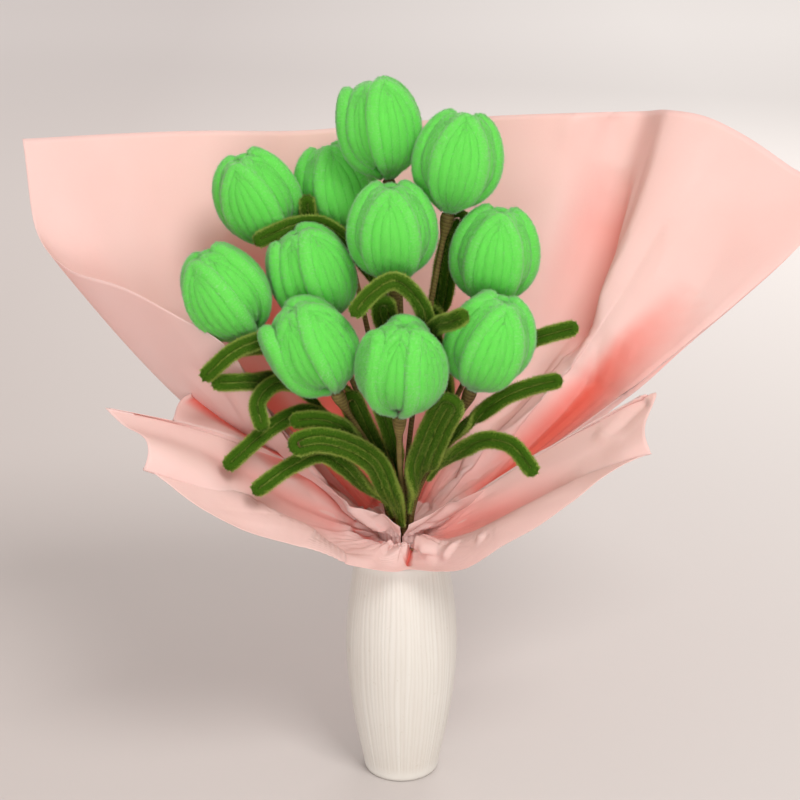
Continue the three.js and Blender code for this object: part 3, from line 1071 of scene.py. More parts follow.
    def petal(
        self, middle: float, half: float, tip: float, depth: float, flare: float, low: float
    ) -> list[Strand]:
        """Lays out one petal as folded strands, one inside the other.

        Args:
            middle: The bearing of the petal's middle.
            half: Half its width, in degrees round the head.
            tip: The angle of its tip.
            depth: How far its strands' middles are under the outside.
            flare: How far its tip stands off.
            low: The angle where its strands start.

        Returns:
            The strands, the outermost first.
        """
        made = []
        reach = self.radius - depth
        pitch = math.radians(half) * reach / self.pins
        for k in range(self.pins):
            wide = (math.radians(half) * reach - (k + 0.5) * pitch) / reach
            end = math.radians(tip) - (k + 0.2) * pitch / (self.half_height * 0.95)
            bend = math.radians(4.0 - 6.0 * k)
            side = []
            for i in range(self.side_points + 1):
                share = i / self.side_points
                angle = lerp(math.radians(low), end, 1 - (1 - share) ** 1.35)
                over = min(max((angle - bend) / (end - bend), 0.0), 1.0)
                arch = max(1 - over**2.2, 0.0) ** 0.54
                side.append((wide * arch, angle))
            lift = 1.0 * MM * (k == 0) - 0.4 * MM * k
            path = []
            for sign, run in ((-1, side), (1, side[-2::-1])):
                for off, angle in run:
                    across = off / math.radians(half)
                    out = flare * (1 - across**4)
                    path.append(self.head_point(middle + sign * off, angle, depth - lift, out))
            if low < -65:
                for end, sign in ((0, -1), (len(path), 1)):
                    turn = middle + sign * wide
                    ray = Vector((math.cos(turn), math.sin(turn), 0.0))
                    path.insert(end, ray * 3.4 * MM + UP * 4.9 * MM)
            points = evened(path, self.strand_points)
            last = len(points) - 1
            radii = []
            for i in range(last + 1):
                near = min(i, last - i) / last
                grown = lerp(0.42, 1.0, smooth(near, 0.0, 0.26))
                radii.append(self.strand * grown)
            made.append(Strand(points, radii))
        return made

    def crown(self) -> Strand:
        """Coils a strand inside the petals' tips, which closes the head.

        Returns:
            The strand.
        """
        points = []
        for i in range(self.crown_points + 1):
            share = i / self.crown_points
            angle = math.radians(lerp(*self.crown_span, share))
            points.append(self.head_point(share * self.crown_sweep * math.pi, angle, self.crown_depth, 0.0))
        return Strand(points, [self.strand] * len(points))

    def build_head(self, finish: Material) -> None:
        """Makes both rows of petals.

        Args:
            finish: The petals' material.
        """
        move = Matrix.Translation(self.neck) @ (
            UP.rotation_difference(self.axis).to_matrix() @ Matrix.Rotation(math.radians(self.turn), 3, "Z")
        ).to_4x4()
        draw = random.Random(self.number * 17)
        outer, inner = new_mesh(), new_mesh()
        for k in range(3):
            turn = math.radians(120 * k + draw.uniform(-4, 4))
            half = self.petal_half * draw.uniform(0.94, 1.06)
            tip = self.outer_tip + draw.uniform(-5, 4)
            flare = self.flare * MM if k == 0 else draw.uniform(1.0, 2.2) * MM
            if k == 0 and self.flare > 2:
                half, tip = self.blade_half, self.blade_tip
            strands = self.petal(turn, half, tip, self.outer_depth, flare, self.seat)
            for rank, strand in enumerate(strands):
                # The outermost strand of each petal gets a painted sheen along its edge.
                sweep(outer, strand, pale=float(rank == 0))
        for bearing in [60, 180, 300] + [0] * (self.flare > 2):
            turn = math.radians(bearing + draw.uniform(-5, 5))
            half = self.petal_half * draw.uniform(1.05, 1.15)
            tip = self.inner_tip + draw.uniform(-5, 0)
            flare = draw.uniform(0.0, 1.0) * MM
            strands = self.petal(turn, half, tip, self.inner_depth, flare, self.inner_seat)
            for rank, strand in enumerate(strands):
                # The outermost strand of each petal gets a painted sheen along its edge.
                sweep(inner, strand, pale=float(rank == 0))
        sweep(inner, self.crown())
        heart = Vector((0.0, 0.0, self.lift))
        for row, bm, under in (("outer", outer, None), ("inner", inner, self.outer_tip)):
            comb_nap(bm, heart, 0.45)
            shown = bm.verts.layers.float["shown"]
            for vert in bm.verts:
                ray = vert.co - heart
                facing = vert.normal.dot(ray.normalized())
                vert[shown] = 1.0 if facing > -0.1 else 0.0
                if under is not None:
                    bearing = (math.degrees(math.atan2(vert.co.y, vert.co.x)) + 60) % 120 - 60
                    wide = math.hypot(ray.x, ray.y) / self.radius
                    angle = math.degrees(math.atan2(ray.z / self.half_height, wide))
                    if abs(bearing) < self.hidden_half and angle < under - self.hidden_below:
                        vert[shown] = 0.0
            mesh = finish_mesh(bm, f"{row}_petals_{self.tag}_chenille", move)
            mesh = replace(PETAL_PILE, seed=self.number * 7 + len(row)).grow(mesh)
            place_piece(
                mesh.name, mesh, finish, f"bloom_{self.tag}", [f"{row}_petals_{self.tag}"]
            )


@dataclass
class Leaf:
    """A leaf of chenille strands folded side by side, taped to a stem at its root."""

    name: str
    stem: Tulip
    height: float
    strands: int
    along: list[Place]
    pitch: float = 5.0 * MM
    strand: float = 2.9 * MM
    root_radius: float = 1.8 * MM
    seat_rise: float = 13.0 * MM
    facing: Vector = field(default_factory=lambda: Vector((0.0, -0.94, 0.34)))
    steps: int = 60

    def build(self, finish: Material) -> None:
        """Makes the leaf.

        Args:
            finish: The leaves' material.
        """
        root, _ = self.stem.on_stem(self.height * MM)
        rise, rise_along = self.stem.on_stem(self.height * MM + self.seat_rise)
        first = mm(self.along[0]) - rise
        out = (first - rise_along * first.dot(rise_along)).normalized()
        seat = self.stem.stem_radius + 0.3 * MM
        rail = Rail([
            root + out * (seat + self.root_radius),
            rise + out * (seat + 3.5 * MM),
            *[mm(p) for p in self.along],
        ])
        spine = rail.even(self.steps + 1)
        length = sum((b - a).length for a, b in zip(spine, spine[1:]))
        faces, sides = [], []
        for i, spot in enumerate(spine):
            along = (spine[min(i + 1, self.steps)] - spine[max(i - 1, 0)]).normalized()
            wanted = out.lerp(self.facing, smooth(i / self.steps, 0.1, 0.6))
            face = (wanted - along * wanted.dot(along)).normalized()
            faces.append(face)
            sides.append(along.cross(face))
        bm = new_mesh()
        for k in range(self.strands // 2):
            off = ((self.strands - 1) / 2 - k) * self.pitch
            sweep(bm, self.hairpin(spine, sides, faces, length, off, k))
        if self.strands % 2:
            stop = 1 - 0.9 * self.pitch / length
            sweep(bm, self.single(spine, faces, stop))
        comb_nap(bm)
        # Painted sheen: each strand's side that faces away from the leaf's middle gets a paler colour
        # through rim.
        rim = bm.verts.layers.float["rim"]
        nearest = kdtree.KDTree(len(spine))
        for i, spot in enumerate(spine):
            nearest.insert(spot, i)
        nearest.balance()
        for vert in bm.verts:
            spot, i, _ = nearest.find(vert.co)
            outward = math.copysign(1.0, (vert.co - spot).dot(sides[i]))
            vert[rim] = max(outward * vert.normal.dot(sides[i]), 0.0) ** 1.8
        mesh = finish_mesh(bm, f"{self.name}_chenille")
        mesh = replace(LEAF_PILE, seed=len(self.name)).grow(mesh)
        place_piece(mesh.name, mesh, finish, Body.BOUQUET.value, [self.name])

    def spot(self, line: Sequence[Vector], share: float) -> Vector:
        """Finds a value along a line of values.

        Args:
            line: The values.
            share: How far along the line, as a share of it.

        Returns:
            The value there.
        """
        place = share * (len(line) - 1)
        k = min(int(place), len(line) - 2)
        return line[k].lerp(line[k + 1], place - k)

    def grown(self, share: float) -> float:
        """Returns how far the leaf has grown to its full width at a share of its length."""
        return smooth(share, 0.02, 0.34)

    def hairpin(
        self,
        spine: Sequence[Vector],
        sides: Sequence[Vector],
        faces: Sequence[Vector],
        length: float,
        off: float,
        rank: int,
    ) -> Strand:
        """Folds one strand up one side of the leaf, round its tip and down the other side.

        Args:
            spine: The leaf's middle line.
            sides: Which way is sideways at each point of it.
            faces: Which way the leaf faces there.
            length: The leaf's length.
            off: How far the strand is from the middle line.
            rank: 0 for the outermost strand, 1 for the next.

        Returns:
            The strand.
        """
        end = 1 - rank * self.pitch / length
        bend = end - off / length
        up = []
        for i in range(90):
            share = end * (1 - (1 - i / 89) ** 1.5)
            over = min(max((share - bend) / (end - bend), 0.0), 1.0)
            arch = math.sqrt(max(1 - over * over, 0.0))
            up.append((share, off * lerp(0.3, 1.0, self.grown(share)) * arch))
        path = []
        for sign, run in ((-1, up), (1, up[-2::-1])):
            for share, away in run:
                wave = 0.3 * MM * noise.noise(Vector((share * 9, sign * 5.0, len(self.name))))
                path.append(
                    self.spot(spine, share)
                    + self.spot(sides, share) * sign * (away + wave)
                    + self.spot(faces, share) * wave
                )
        points = evened(path, 2 * self.steps)
        last = len(points) - 1
        radii = [
            lerp(self.root_radius * 0.7, self.strand, self.grown(2 * min(i, last - i) / last))
            for i in range(last + 1)
        ]
        return Strand(points, radii)

    def single(self, spine: Sequence[Vector], faces: Sequence[Vector], stop: float) -> Strand:
        """Runs a strand up the middle of the leaf.

        Args:
            spine: The leaf's middle line.
            faces: Which way the leaf faces at each point of it.
            stop: Where the strand ends, as a share of the leaf's length.

        Returns:
            The strand.
        """
        points = [
            self.spot(spine, stop * i / self.steps) + self.spot(faces, stop * i / self.steps) * 0.4 * MM
            for i in range(self.steps + 1)
        ]
        radii = []
        for i in range(self.steps + 1):
            share = i / self.steps
            tip = math.sqrt(max(1 - smooth(share, 0.93, 1.02) ** 2, 0.05))
            radii.append(lerp(self.root_radius, self.strand, self.grown(share)) * tip)
        return Strand(points, radii)


@dataclass(frozen=True)
class Fold:
    """A crease along a line of places on a sheet, each across and up it as a share.

    rise is how far it stands out towards the flowers, left and right how far it spreads to each
    side, in millimetres. fade is how much of its length it takes to come up and to go down.
    The share given after fade is how strongly the paper is painted saturated red there, as painted shade and
    glow.
    sharp is how pointed the crease is, and 0 makes it round.
    """

    line: tuple[Pair, ...]
    rise: float
    left: float
    right: float
    fade: Pair = (0.15, 0.2)
    deep: float = 0.0
    sharp: float = 1.2

    def spread(self, sheet: "Wrap", base: np.ndarray, across: np.ndarray) -> np.ndarray:
        """Works out how strong the crease is all over the sheet.

        Args:
            sheet: The sheet.
            base: The sheet's smooth places, in rows and columns.
            across: The share across at each of them.

        Returns:
            A strength from 0 to 1 in rows and columns.
        """
        dense = evened([Vector((*spot, 0.0)) for spot in self.line], 48)
        spine = np.array([sheet.place(spot.x, spot.y) for spot in dense])
        gaps = np.linalg.norm(base[:, :, None, :] - spine, axis=3)
        near = gaps.argmin(axis=2)
        side = across[None, :] - np.array([spot.x for spot in dense])[near]
        width = np.where(side < 0, self.left, self.right) * MM
        share = near / (len(dense) - 1)
        come = np.clip(share / max(self.fade[0], 1e-6), 0, 1)
        leave = np.clip((1 - share) / max(self.fade[1], 1e-6), 0, 1)
        height = np.clip(1 - gaps.min(axis=2) / width, 0, 1)
        height = height**self.sharp if self.sharp else height * height * (3 - 2 * height)
        return height * (come * leave) ** 0.8


@dataclass
class Wrap:
    """A sheet of wrapping paper gathered round the stems, its folds fanning out to its free edge.

    Each point of the edge has a place, how far the paper bows out below it, and the bearing at the
    collar that it fans out from.
    """

    name: str
    node: str
    radius: float
    collar_top: float
    edge: list[tuple[Place, float, float]]
    corners: set[int]
    folds: list[Fold]
    flat: Pair
    area: float
    seed: float
    gather: float = 3.0
    zigzag: Pair = (0.0, 0.0)
    collar_bottom: float = 160.0
    bow_place: float = 0.4
    collar_rows: int = 6
    fine: int = 13
    rows: int = 110
    thickness: float = 0.3 * MM
    rail: Rail = field(init=False)

    def __post_init__(self) -> None:
        """Draws the free edge."""
        self.rail = Rail([mm(facts[0]) for facts in self.edge], self.corners)

    @property
    def columns(self) -> int:
        """Returns how many columns of cells the sheet has."""
        return self.fine * (len(self.edge) - 1)

    def between(self, across: float) -> Place:
        """Finds what the free edge's points say at a place between them.

        Args:
            across: The place across the sheet, from 0 to 1.

        Returns:
            The bow, the bearing, and the place counted in points.
        """
        spot = across * (len(self.edge) - 1)
        k = min(int(spot), len(self.edge) - 2)
        one, two = self.edge[k], self.edge[k + 1]
        return lerp(one[1], two[1], spot - k), lerp(one[2], two[2], spot - k), spot

    def place(self, across: float, up: float) -> Vector:
        """Finds a point of the smooth sheet.

        Args:
            across: The place across the sheet, from 0 to 1.
            up: The place up it, below 0 in the collar and from 0 to 1 above it.

        Returns:
            The point.
        """
        bow, bearing, _ = self.between(across)
        bearing = math.radians(bearing)
        ring = Vector((math.cos(bearing), math.sin(bearing), 0.0)) * self.radius * MM
        if up < 0:
            return ring + UP * lerp(self.collar_top, self.collar_bottom, -up) * MM
        high = ring + UP * self.collar_top * MM
        end = self.rail.at(across)
        along = (end - high).normalized()
        outward = Vector((end.x, end.y, 0.0)).normalized()
        outward = (outward - along * outward.dot(along)).normalized()
        bend = high.lerp(end, self.bow_place) + outward * bow * MM
        return high * (1 - up) ** 2 + bend * (2 * up * (1 - up)) + end * up * up

    def crumple(self, across: float, up: float) -> float:
        """Works out how far small creases lift the paper.

        Args:
            across: The place across the sheet.
            up: The place up it from the collar.

        Returns:
            The lift in metres.
        """
        spot = across * (len(self.edge) - 1)
        if up <= 0:
            return 0.3 * MM * math.sin(spot * 7.0 + 2 * math.sin(spot))
        bend = noise.noise(Vector((spot * 0.5, up * 3, self.seed)))
        tight = noise.voronoi(
            Vector((spot * 1.5 + bend, up * 6.5 + bend, self.seed)), distance_metric="MANHATTAN"
        )[0][0]
        loose = noise.voronoi(
            Vector((spot * 0.5 + bend, up * 2.3 - bend, self.seed + 3)), distance_metric="MANHATTAN"
        )[0][0]
        pleat = abs((spot * 0.9 + 0.7 * noise.noise(Vector((spot * 0.7, up, self.seed)))) % 1.0 - 0.5)
        own = 0.3 + 1.2 * abs(noise.noise(Vector((spot * 0.8, 3.0, self.seed))))
        reach = smooth(up, 0.0, 0.08) * (1 - smooth(up, 0.16, 0.55))
        total = (tight - 0.6) * 2.2 * smooth(up, 0.0, 0.05) * (1 - smooth(up, 0.12, 0.4))
        total += (loose - 0.6) * lerp(2.6, 0.35, smooth(up, 0.2, 0.55)) * smooth(up, 0.05, 0.2)
        total += (pleat * 4 - 1) * self.gather * own * reach
        total += 2.0 * noise.noise(Vector((spot * 0.35, up * 2.2, self.seed + 4))) * smooth(up, 0.05, 0.4)
        return total * MM

    def trim(self, across: float) -> float:
        """Tells how long a column stays where the free edge is cut zigzag.

        Args:
            across: The column's place across the sheet.

        Returns:
            The share of its length that it keeps.
        """
        spot = self.between(across)[2]
        if not self.zigzag[0] < spot < self.zigzag[1]:
            return 1.0
        return 1.0 - 0.05 * abs((spot * self.fine / 3) % 1.0 - 0.5)

    def build(self, finish: Material) -> None:
        """Makes the sheet.

        Args:
            finish: The paper's material.
        """
        wide, tall = self.columns + 1, self.rows + 1
        shares = [-(1 - j / self.collar_rows) for j in range(self.collar_rows)]
        above = self.rows - self.collar_rows
        shares += [(j / above) ** 1.15 for j in range(above + 1)]
        bm = bmesh.new()
        deep = bm.verts.layers.float.new("deep")
        bmesh.ops.create_grid(bm, x_segments=self.columns, y_segments=self.rows, size=0.5)
        order = sorted(bm.verts, key=lambda v: (round(v.co.y * self.rows), round(v.co.x * self.columns)))
        across = np.arange(wide) / self.columns
        trim = [self.trim(x) for x in across]
        base = np.array([[self.place(x, up * cut) for x, cut in zip(across, trim)] for up in shares])
        rise = np.array([[self.crumple(x, up) for x in across] for up in shares])
        # tone gathers each fold's share of saturated red, the painted shade and glow of the folds.
        tone = np.zeros((tall, wide))
        for fold in self.folds:
            strength = fold.spread(self, base, across)
            rise += strength * fold.rise * MM
            tone = np.maximum(tone, strength * fold.deep)
        inner = 1 if self.edge[0][2] > self.edge[-1][2] else -1
        normal = np.cross(np.gradient(base, axis=1), np.gradient(base, axis=0)) * inner
        normal /= np.maximum(np.linalg.norm(normal, axis=2, keepdims=True), 1e-12)
        placed = base + normal * rise[..., None]
        uv = bm.loops.layers.uv.new("sheet")
        for k, vert in enumerate(order):
            j, i = divmod(k, wide)
            vert.co = placed[j, i]
            vert[deep] = tone[j, i]
            for loop in vert.link_loops:
                loop[uv].uv = (i / self.columns, j / self.rows)
        mesh = finish_mesh(bm, self.name)
        piece = place_piece(self.name, mesh, finish, Body.BOUQUET.value, [self.node])
        solid = piece.modifiers.new("thickness", "SOLIDIFY")
        solid.thickness = self.thickness
        solid.offset = 0.0
        size = sum(face.area for face in mesh.polygons)
        log.info("%s: %.4f square metres", self.name, size)


@dataclass
class Vase:
    """A hollow ceramic vase with fine uneven upright ribs."""

    height: float = 166.0
    foot_radius: float = 26.0
    foot_edge: float = 2.5
    belly_radius: float = 38.5
    belly_height: float = 98.0
    rim_radius: float = 31.0
    wall: float = 4.5
    floor: float = 7.0
    levels: int = 44
    around: int = 448
    ribs: int = 74
    rib_depth: float = 0.42

    def half(
        self, end: Pair, shares: Sequence[Pair]
    ) -> list[Pair]:
        """Runs the outline from the belly to one end.

        Args:
            end: The end's radius and height.
            shares: Four shares of the way from belly to end, in radius and height.

        Returns:
            Radius and height of points along it.
        """
        ctrl = [
            (lerp(self.belly_radius, end[0], a), lerp(self.belly_height, end[1], b)) for a, b in shares
        ]
        made = []
        for i in range(self.levels + 1):
            t = i / self.levels
            s = 1 - t
            weights = (s**3, 3 * s * s * t, 3 * s * t * t, t**3)
            made.append((
                sum(w * c[0] for w, c in zip(weights, ctrl)),
                sum(w * c[1] for w, c in zip(weights, ctrl)),
            ))
        return made

    def outline(self) -> tuple[list[Pair], int, int]:
        """Draws the outline that is turned into the vase.

        Returns:
            The whole outline, and the first and last of its points that have ribs.
        """
        foot = (self.foot_radius, self.foot_edge)
        rim = (self.rim_radius, self.height - 1.4)
        lower = self.half(foot, ((1, 1), (0.7, 0.8), (0, 0.4), (0, 0)))
        upper = self.half(rim, ((0, 0), (0, 0.4), (0.6, 0.74), (1, 1)))
        outside = lower + upper[1:]
        rounded = [
            (self.rim_radius - 0.5, self.height - 0.5),
            (self.rim_radius - 1.6, self.height),
            (self.rim_radius - 2.9, self.height),
            (self.rim_radius - 4.0, self.height - 0.5),
        ]
        inside = [(r - self.wall, z) for r, z in reversed(outside) if z > self.floor + self.wall]
        start = [
            (0.0, 0.6), (self.foot_radius - 7.0, 0.6), (self.foot_radius - 6.0, 0.0),
            (self.foot_radius - 2.5, 0.0), (self.foot_radius - 0.7, 0.7),
        ]
        end = [(self.foot_radius - self.wall - 3.0, self.floor), (0.0, self.floor)]
        first = len(start)
        return [*start, *outside, *rounded, *inside, *end], first, first + len(outside)

    def rib(self, turn: float, height: float) -> float:
        """Works out how high the ribs stand.

        Args:
            turn: The turn round the vase, in radians.
            height: The height in millimetres.

        Returns:
            The height, from 0 in a groove to 1 on a rib.
        """
        around = Vector((math.cos(turn), math.sin(turn), 0.0))
        wander = noise.noise(around * 5.5 + Vector((0.0, 0.0, height * 0.012)))
        drift = noise.noise(around * 1.7 + Vector((4.0, 0.0, height * 0.02)))
        phase = turn * self.ribs / (2 * math.pi) + 0.8 * wander + 0.3 * drift
        crest = abs(math.sin(math.pi * phase))
        strength = 0.55 + 0.45 * noise.noise(around * 9.0 + Vector((0.0, 7.0, height * 0.008)))
        return (1 - (1 - crest) ** 1.8) * strength

    def build(self, finish: Material) -> None:
        """Makes the vase.

        Args:
            finish: The glaze's material.
        """
        bm = bmesh.new()
        pool = bm.verts.layers.float.new("pool")
        line, first, last = self.outline()
        verts = [bm.verts.new((r * MM, 0.0, z * MM)) for r, z in line]
        edges = [bm.edges.new(pair) for pair in zip(verts, verts[1:])]
        for k, vert in enumerate(verts):
            vert[pool] = float(first <= k < last)
        bmesh.ops.spin(
            bm, geom=verts + edges, axis=UP, cent=(0, 0, 0), angle=2 * math.pi,
            steps=self.around, use_merge=True,
        )
        bmesh.ops.remove_doubles(bm, verts=bm.verts, dist=1e-6)
        for vert in bm.verts:
            if vert[pool] < 0.5:
                vert[pool] = 0.2
                continue
            height = vert.co.z / MM
            turn = math.atan2(vert.co.y, vert.co.x)
            ease = smooth(height, 3.0, 12.0) * (1 - smooth(height, self.height - 9.0, self.height - 3.0))
            crest = self.rib(turn, height)
            out = Vector((vert.co.x, vert.co.y, 0.0)).normalized()
            vert.co -= out * (1 - crest) * self.rib_depth * MM * ease
            vert[pool] = (1 - crest) * ease
        mesh = finish_mesh(bm, "ribbed_vase")
        place_piece("ribbed_vase", mesh, finish, Body.VASE.value, ["vase"])


@dataclass
class Tie:
    """Twine wound round both sheets and knotted."""

    radius: float = 18.2 * MM
    low: float = 171.5 * MM
    high: float = 174.4 * MM
    turns: float = 3.0
    ply_radius: float = 0.55 * MM
    ply_off: float = 0.42 * MM
    twists: int = 26
    knot_radius: float = 0.75 * MM
    knot_points: int = 60

    def build(self, finish: Material) -> None:
        """Makes the tie.

        Args:
            finish: The twine's material.
        """
        bm = new_mesh()
        steps = int(96 * self.turns)
        for ply in range(2):
            points = []
            for i in range(steps + 1):
                share = i / steps
                turn = 2 * math.pi * self.turns * share + math.pi / 2
                twist = 2 * math.pi * (share * self.turns * self.twists + ply / 2)
                radius = self.radius + self.ply_off * math.cos(twist)
                height = lerp(self.low, self.high, share) + self.ply_off * math.sin(twist)
                points.append(Vector((radius * math.cos(turn), radius * math.sin(turn), height)))
            sweep(bm, Strand(points, [self.ply_radius] * len(points)), 7)
        knot = []
        middle = Vector((0.0, self.radius + 1.0 * MM, (self.low + self.high) / 2))
        for i in range(self.knot_points + 1):
            turn = 4 * math.pi * i / self.knot_points
            wide = (1.9 + 0.7 * math.cos(1.5 * turn)) * MM
            spot = Vector((wide * math.cos(turn), 0.8 * MM * math.sin(1.5 * turn), wide * math.sin(turn)))
            knot.append(middle + spot)
        sweep(bm, Strand(knot, [self.knot_radius] * len(knot)), 8)
        mesh = finish_mesh(bm, "twine_tie")
        place_piece("twine_tie", mesh, finish, Body.BOUQUET.value, ["stem_tie"])


@dataclass(frozen=True)
class Lamp:
    """A square soft lamp: where it stands, the length of its side, its power and its colour."""

    name: str
    place: Place
    size: float
    watts: float
    tint: Place

    def build(self, target: Vector) -> None:
        """Makes the lamp.

        Args:
            target: What the lamp points at.
        """
        data = bpy.data.lights.new(self.name, "AREA")
        data.size = self.size
        data.energy = self.watts
        data.color = self.tint
        lamp = add_object(self.name, data)
        aim = target - Vector(self.place)
        lamp.location = self.place
        lamp.rotation_euler = aim.to_track_quat("-Z", "Y").to_euler()


LAMPS = (
    Lamp("key_lamp", (1.6, -2.75, 4.1), 1.8, 130.0, (1.0, 0.98, 0.96)),
    Lamp("fill_lamp", (-0.2, -2.6, 0.4), 1.2, 26.0, (1.0, 0.98, 0.97)),
    Lamp("back_lamp", (0.5, 1.8, 1.3), 1.2, 10.0, (1.0, 0.97, 0.95)),
)


@dataclass
class Stage:
    """The pale floor, soft studio lamps, an even sky and the camera of the photograph."""

    floor_radius: float = 9.0
    target: Place = (-0.001, 0.0, 0.2749)
    distance: float = 1.25
    pitch: float = 20.0
    lens: float = 85.0
    sensor: float = 36.0
    sky_tint: Tint = (0.93, 0.89, 0.87, 1.0)
    sky_strength: float = 0.78

    def build_floor(self, finish: Material) -> None:
        """Makes the floor.

        Args:
            finish: The floor's material.
        """
        bm = bmesh.new()
        bmesh.ops.create_circle(bm, cap_ends=True, segments=96, radius=self.floor_radius)
        floor = add_object("studio_floor", keep_mesh(bm, "studio_floor"))
        floor.data.materials.append(finish)

    def build(self, finish: Material) -> None:
        """Makes the floor, lamps, sky and camera.

        Args:
            finish: The floor's material.
        """
        self.build_floor(finish)
        for lamp in LAMPS:
            lamp.build(Vector(self.target))
        world = bpy.data.worlds.new("studio_sky")
        world.use_nodes = True
        sky = world.node_tree.nodes["Background"]
        sky.inputs["Color"].default_value = self.sky_tint
        sky.inputs["Strength"].default_value = self.sky_strength
        scene = bpy.context.scene
        scene.world = world
        scene.view_settings.view_transform = "Standard"
        data = bpy.data.cameras.new("photo_camera")
        data.lens = self.lens
        data.sensor_width = self.sensor
        camera = add_object("photo_camera", data)
        pitch = math.radians(self.pitch)
        back = Vector((0.0, -math.cos(pitch), math.sin(pitch)))
        camera.location = Vector(self.target) + back * self.distance
        camera.rotation_euler = (-back).to_track_quat("-Z", "Y").to_euler()
        scene.camera = camera


# The heads and their stems, as in the CAD source, in millimetres and degrees.
TULIPS = [
    ((-14, 40, 449), (-9, 4), 180, (-1, 1), 5),
    ((36, 13, 433), (10, 2), 270, (0, 1), 0),
    ((-95, 44, 401), (-24, -8), 262, (-2, 1), 0),
    ((-44, 68, 400), (-12, 4), 284, (-2, 2), 0),
    ((-6, -8, 392), (-2, -3), 270, (0, 0), 0),
    ((60, 0, 374), (7, -1), 268, (1, 0), 0),
    ((-58, 1, 361), (-18, -2), 190, (-1, 0), 3),
    ((-112, -19, 354), (-33, -4), 250, (-2, 0), 0),
    ((-56, -50, 328), (-25, -9), 196, (0, -1), 8),
    ((0, -66, 320), (2, -10), 200, (1, -1), 4),
    ((55, -48, 331), (18, -8), 276, (2, -1), 0),
]

# The leaves: the stem that each is taped to, the height there, its strands and its line.
LEAVES = [
    ("leaf_right_arch", 10, 228, 2, [(42, -52, 262), (54, -60, 270), (69, -70, 270), (82, -84, 258)]),
    ("leaf_front_broad", 9, 200, 4, [(15, -46, 253), (25, -60, 284), (32, -68, 300)]),
    ("leaf_right_low", 10, 250, 2, [(66, -34, 289), (86, -36, 298), (100, -38, 302)]),
    ("leaf_right_high", 5, 288, 2, [(65, -12, 312), (85, -15, 322), (111, -18, 331)]),
    ("leaf_between_right_blooms", 5, 262, 2, [
        (20, -38, 334), (24, -52, 344), (30, -66, 350), (38, -78, 358),
    ]),
    ("leaf_back_upright", 1, 300, 3, [(26, 28, 337), (30, 32, 362), (38, 32, 394)]),
    ("leaf_centre_fold", 4, 290, 2, [
        (15, -40, 344), (7, -48, 363), (-5, -54, 373), (-18, -60, 367), (-29, -66, 356),
    ]),
    ("leaf_centre_dark", 4, 312, 3, [(-10, -18, 336), (-12, -28, 352)]),
    ("leaf_back_left_low", 0, 316, 2, [
        (-20, 30, 352), (-36, 27, 376), (-52, 25, 388), (-66, 22, 389), (-76, 14, 388), (-93, 6, 382),
    ]),
    ("leaf_back_left_loop", 2, 318, 2, [(-62, 35, 360), (-61, 39, 378), (-62, 36, 402)]),
    ("leaf_left_high", 6, 306, 2, [
        (-58, -14, 322), (-70, -19, 328), (-83, -27, 329), (-91, -43, 330), (-105, -54, 327),
        (-123, -59, 312),
    ]),
    ("leaf_left_dark", 6, 292, 2, [(-60, 8, 308), (-85, 2, 312), (-111, -8, 313)]),
    ("leaf_left_straight", 6, 272, 2, [
        (-62, -1, 284), (-83, -10, 293), (-92, -32, 299), (-100, -44, 303), (-117, -54, 306),
    ]),
    ("leaf_left_curl", 7, 272, 2, [(-68, -26, 296), (-82, -40, 300), (-91, -52, 292), (-88, -60, 279)]),
    ("leaf_left_droop", 7, 238, 2, [(-56, -26, 275), (-71, -39, 278), (-88, -49, 270), (-110, -64, 254)]),
    ("leaf_left_hook", 8, 250, 2, [(-40, -50, 276), (-54, -55, 282), (-68, -58, 282)]),
    ("leaf_left_lowest", 8, 196, 2, [
        (-22, -26, 222), (-38, -44, 246), (-52, -52, 257), (-70, -62, 253), (-92, -74, 241),
    ]),
    ("leaf_front_arch", 9, 190, 3, [
        (-8, -37, 225), (-18, -50, 251), (-35, -60, 266), (-53, -68, 273), (-68, -74, 271),
    ]),
    ("leaf_inner_left", 7, 200, 3, [(-17, -13, 240), (-27, -22, 268), (-34, -28, 288)]),
    ("leaf_inner_centre", 4, 222, 2, [(-7, -18, 255), (-14, -28, 282)]),
    ("leaf_inner_right", 5, 212, 2, [(17, -12, 246), (24, -17, 266), (31, -21, 284)]),
]

# The sheets' free edges: place, bow and bearing of each point, and which of them are corners.
BACK_EDGE = [
    ((-1, -25, 194), 2, 268), ((-16, -28, 205), 3, 252), ((-34, -29, 213), 4, 238),
    ((-58, -22, 236), 6, 225), ((-86, -30, 277), 10, 214), ((-113, -38, 326), 14, 205),
    ((-145, -30, 344), 32, 192), ((-179, -15, 357), 42, 179), ((-219, 10, 363), 47, 166),
    ((-240, 35, 380), 46, 153), ((-251, 62, 437), 42, 140), ((-199, 95, 433), 38, 127),
    ((-138, 115, 431), 36, 114), ((-71, 125, 429), 36, 101), ((0, 130, 434), 38, 89),
    ((70, 128, 439), 40, 76), ((121, 122, 442), 46, 63), ((167, 128, 442), 60, 50),
    ((181, 92, 450), 76, 37), ((204, 80, 448), 70, 24), ((231, 72, 436), 56, 11),
    ((259, 55, 419), 42, -2), ((283, 35, 405), 26, -15), ((188, 21, 304), 10, -28),
    ((107, 9, 237), 4, -42), ((46, -18, 214), 4, -62), ((5, -26, 196), 2, -88),
]
BACK_CORNERS = {10}

